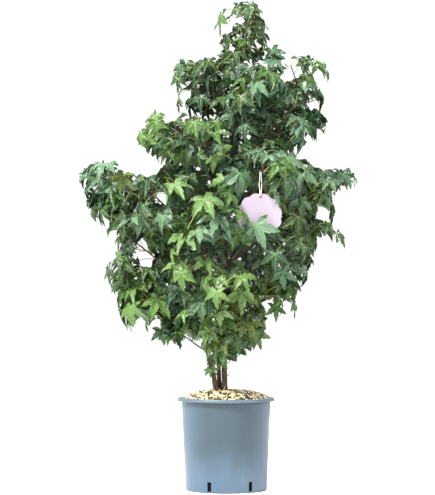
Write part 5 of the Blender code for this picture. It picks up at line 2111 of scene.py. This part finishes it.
@dataclass
class Limbs:
    """The stems and boughs, with the relief of their bark."""

    frame: Framework
    flare_share: float = 0.35
    flare_height: float = 35 * MM
    flare_lobes: int = 4
    swells: dict[str, float] = field(default_factory=lambda: {"stem_centre": 0.3, "stem_left": 0.06})
    swell_height: float = 180 * MM
    relief: float = 0.55 * MM

    def build(self) -> None:
        """Model each stem and each bough."""
        bark = Bark().material()
        for stem in self.frame.stems:
            line = self._flared(self.frame.limbs[stem.name].finer(5 * MM), stem.name)
            piece = tubes(f"{stem.name}_bark", [line], 22)
            self._roughen(piece, line, self.relief, True)
            settle(piece, 60)
            dress(piece, bark, "bark", stem.name)
        boughs = [name for name in self.frame.limbs if name.startswith("bough")]
        for name in boughs:
            line = self._collared(self.frame.limbs[name].finer(6 * MM))
            piece = tubes(f"{name}_bark", [line], 12)
            self._roughen(piece, line, self.relief * 0.5, False)
            settle(piece, 60)
            dress(piece, bark, "bark", name)

    def _flared(self, line: Line, stem: str) -> Line:
        """Widen a stem towards the ground, and crook it.

        Args:
            line: The stem's line.
            stem: Its name.

        Returns:
            The bark's line.
        """
        swell = self.swells.get(stem, 0.0)
        radii = []
        for point, radius in zip(line.points, line.radii):
            rise = point.z - GROUND
            fade = max(0.0, 1 - rise / self.flare_height) ** 2
            radii.append(radius * (1 + self.flare_share * fade + swell * max(0.0, 1 - rise / self.swell_height)))
        return Line([crooked(point, stem) for point in line.points], radii)

    def _collared(self, line: Line) -> Line:
        """Widen a bough where it leaves its stem."""
        radii = []
        for k, radius in enumerate(line.radii):
            radii.append(radius * (1 + self.frame.collar_share * max(0.0, 1 - k / 3) ** 2))
        return Line(line.points, radii)

    def _roughen(self, piece: bpy.types.Object, line: Line, depth: float, flared: bool) -> None:
        """Work furrows and knots into the bark.

        Args:
            piece: The limb's mesh.
            line: The limb's middle line.
            depth: How deep the furrows are.
            flared: Whether the limb stands on the ground.
        """
        middles = np.array([point[:] for point in line.points])
        for corner in piece.data.vertices:
            spot = corner.co.copy()
            nearest = int(np.argmin(((middles - np.array(spot)) ** 2).sum(1)))
            middle = Vector(middles[nearest])
            away = spot - middle
            if away.length < 0.2 * MM:
                continue
            away.normalize()
            angle = math.atan2(away.y, away.x)
            furrow = noise.noise(Vector((away.x * 2.6, away.y * 2.6, spot.z * 26 + away.z)))
            fine = noise.noise(Vector((away.x * 7, away.y * 7, spot.z * 90)))
            knot = max(0.0, noise.noise(Vector((away.x * 1.2, away.y * 1.2, spot.z * 34 + 40))) - 0.35)
            lift = depth * (furrow + 0.5 * fine) + knot * 2.4 * MM
            if flared:
                fade = max(0.0, 1 - (spot.z - GROUND) / self.flare_height) ** 2
                lift -= 0.3 * self.flare_share * fade * math.cos(self.flare_lobes * angle) * line.radii[nearest]
                if spot.z < GROUND + 0.5 * MM:
                    away = Vector((away.x, away.y, 0))
            corner.co = spot + away * lift


@dataclass
class SwingTag:
    """The blank round tag with a scalloped edge, on its loop of string."""

    radius: float = 64 * MM

    def build(self, nodes: dict[str, bpy.types.Object]) -> None:
        """Dress the card and the string of the CAD with their finishes."""
        for name, finish in (("tag", Card()), ("tag_string", Cord())):
            piece = nodes[name]
            piece.data.materials.clear()
            piece.data.materials.append(finish.material())
            LOG.info("%s: CAD node kept", name)

    def shields(self, light: Vector) -> list[BVHTree]:
        """Return search trees round the card, the room before it, its way to the light and the string.

        Args:
            light: The place of the main light.

        Returns:
            The search trees, one inside another where a leaf could lie wholly within one.
        """
        low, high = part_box("tag")
        middle = (low + high) / 2
        plate = shell([middle - Vector((0, 3 * MM, 0)), middle + Vector((0, 3 * MM, 0))], [self.radius + 2 * MM] * 2, 16)
        shown = Vector((middle.x, low.y - 2 * MM, middle.z + self.radius * 0.3))
        ahead = Vector((0, -0.2, 0))
        to_light = (light - shown).normalized() * 0.3
        trees = [plate]
        for share in (0.7, 0.5, 0.3, 0.1):
            trees.append(shell([shown, shown + ahead], [self.radius * share] * 2, 12))
            trees.append(shell([shown, shown + to_light], [self.radius * share] * 2, 12))
        rope_low, rope_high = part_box("tag_string")
        rope_middle = (rope_low + rope_high) / 2
        for k in range(4):
            start = Vector((rope_middle.x, rope_low.y, rope_low.z + (rope_high.z - rope_low.z) * (k + 0.6) / 4))
            trees += [shell([start, start + ahead], [radius] * 2, 8) for radius in (11 * MM, 4 * MM)]
        return trees


# Main


def main() -> None:
    """Dress the whole part."""
    logging.basicConfig(level=logging.INFO, format="%(message)s")
    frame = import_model()
    view = Viewpoint()
    framework = Framework()
    framework.lay_out()
    pot = Pot()
    pot.build()
    feet = [(framework.limbs[stem.name].points[0], stem.foot_radius * 1.5) for stem in framework.stems]
    GravelBed(pot, feet).build()
    Limbs(framework).build()
    studio = Studio()
    tag = SwingTag()
    tag.build(frame["nodes"])
    crown = Crown(framework, view, keep_clear=tag.shields(Vector(studio.lamps[0].place)))
    crown.grow()
    low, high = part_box("tag")
    crown.hang_before(Vector(((low.x + high.x) / 2, low.y, (low.z + high.z) / 2)))
    crown.sprout()
    crown.trim()
    crown.add_stubs()
    LOG.info("%d sprays, %d leaves", len(crown.sprays), len(crown.leaves))
    crown.build()
    view.camera()
    studio.build()


if __name__ == "__main__":
    main()
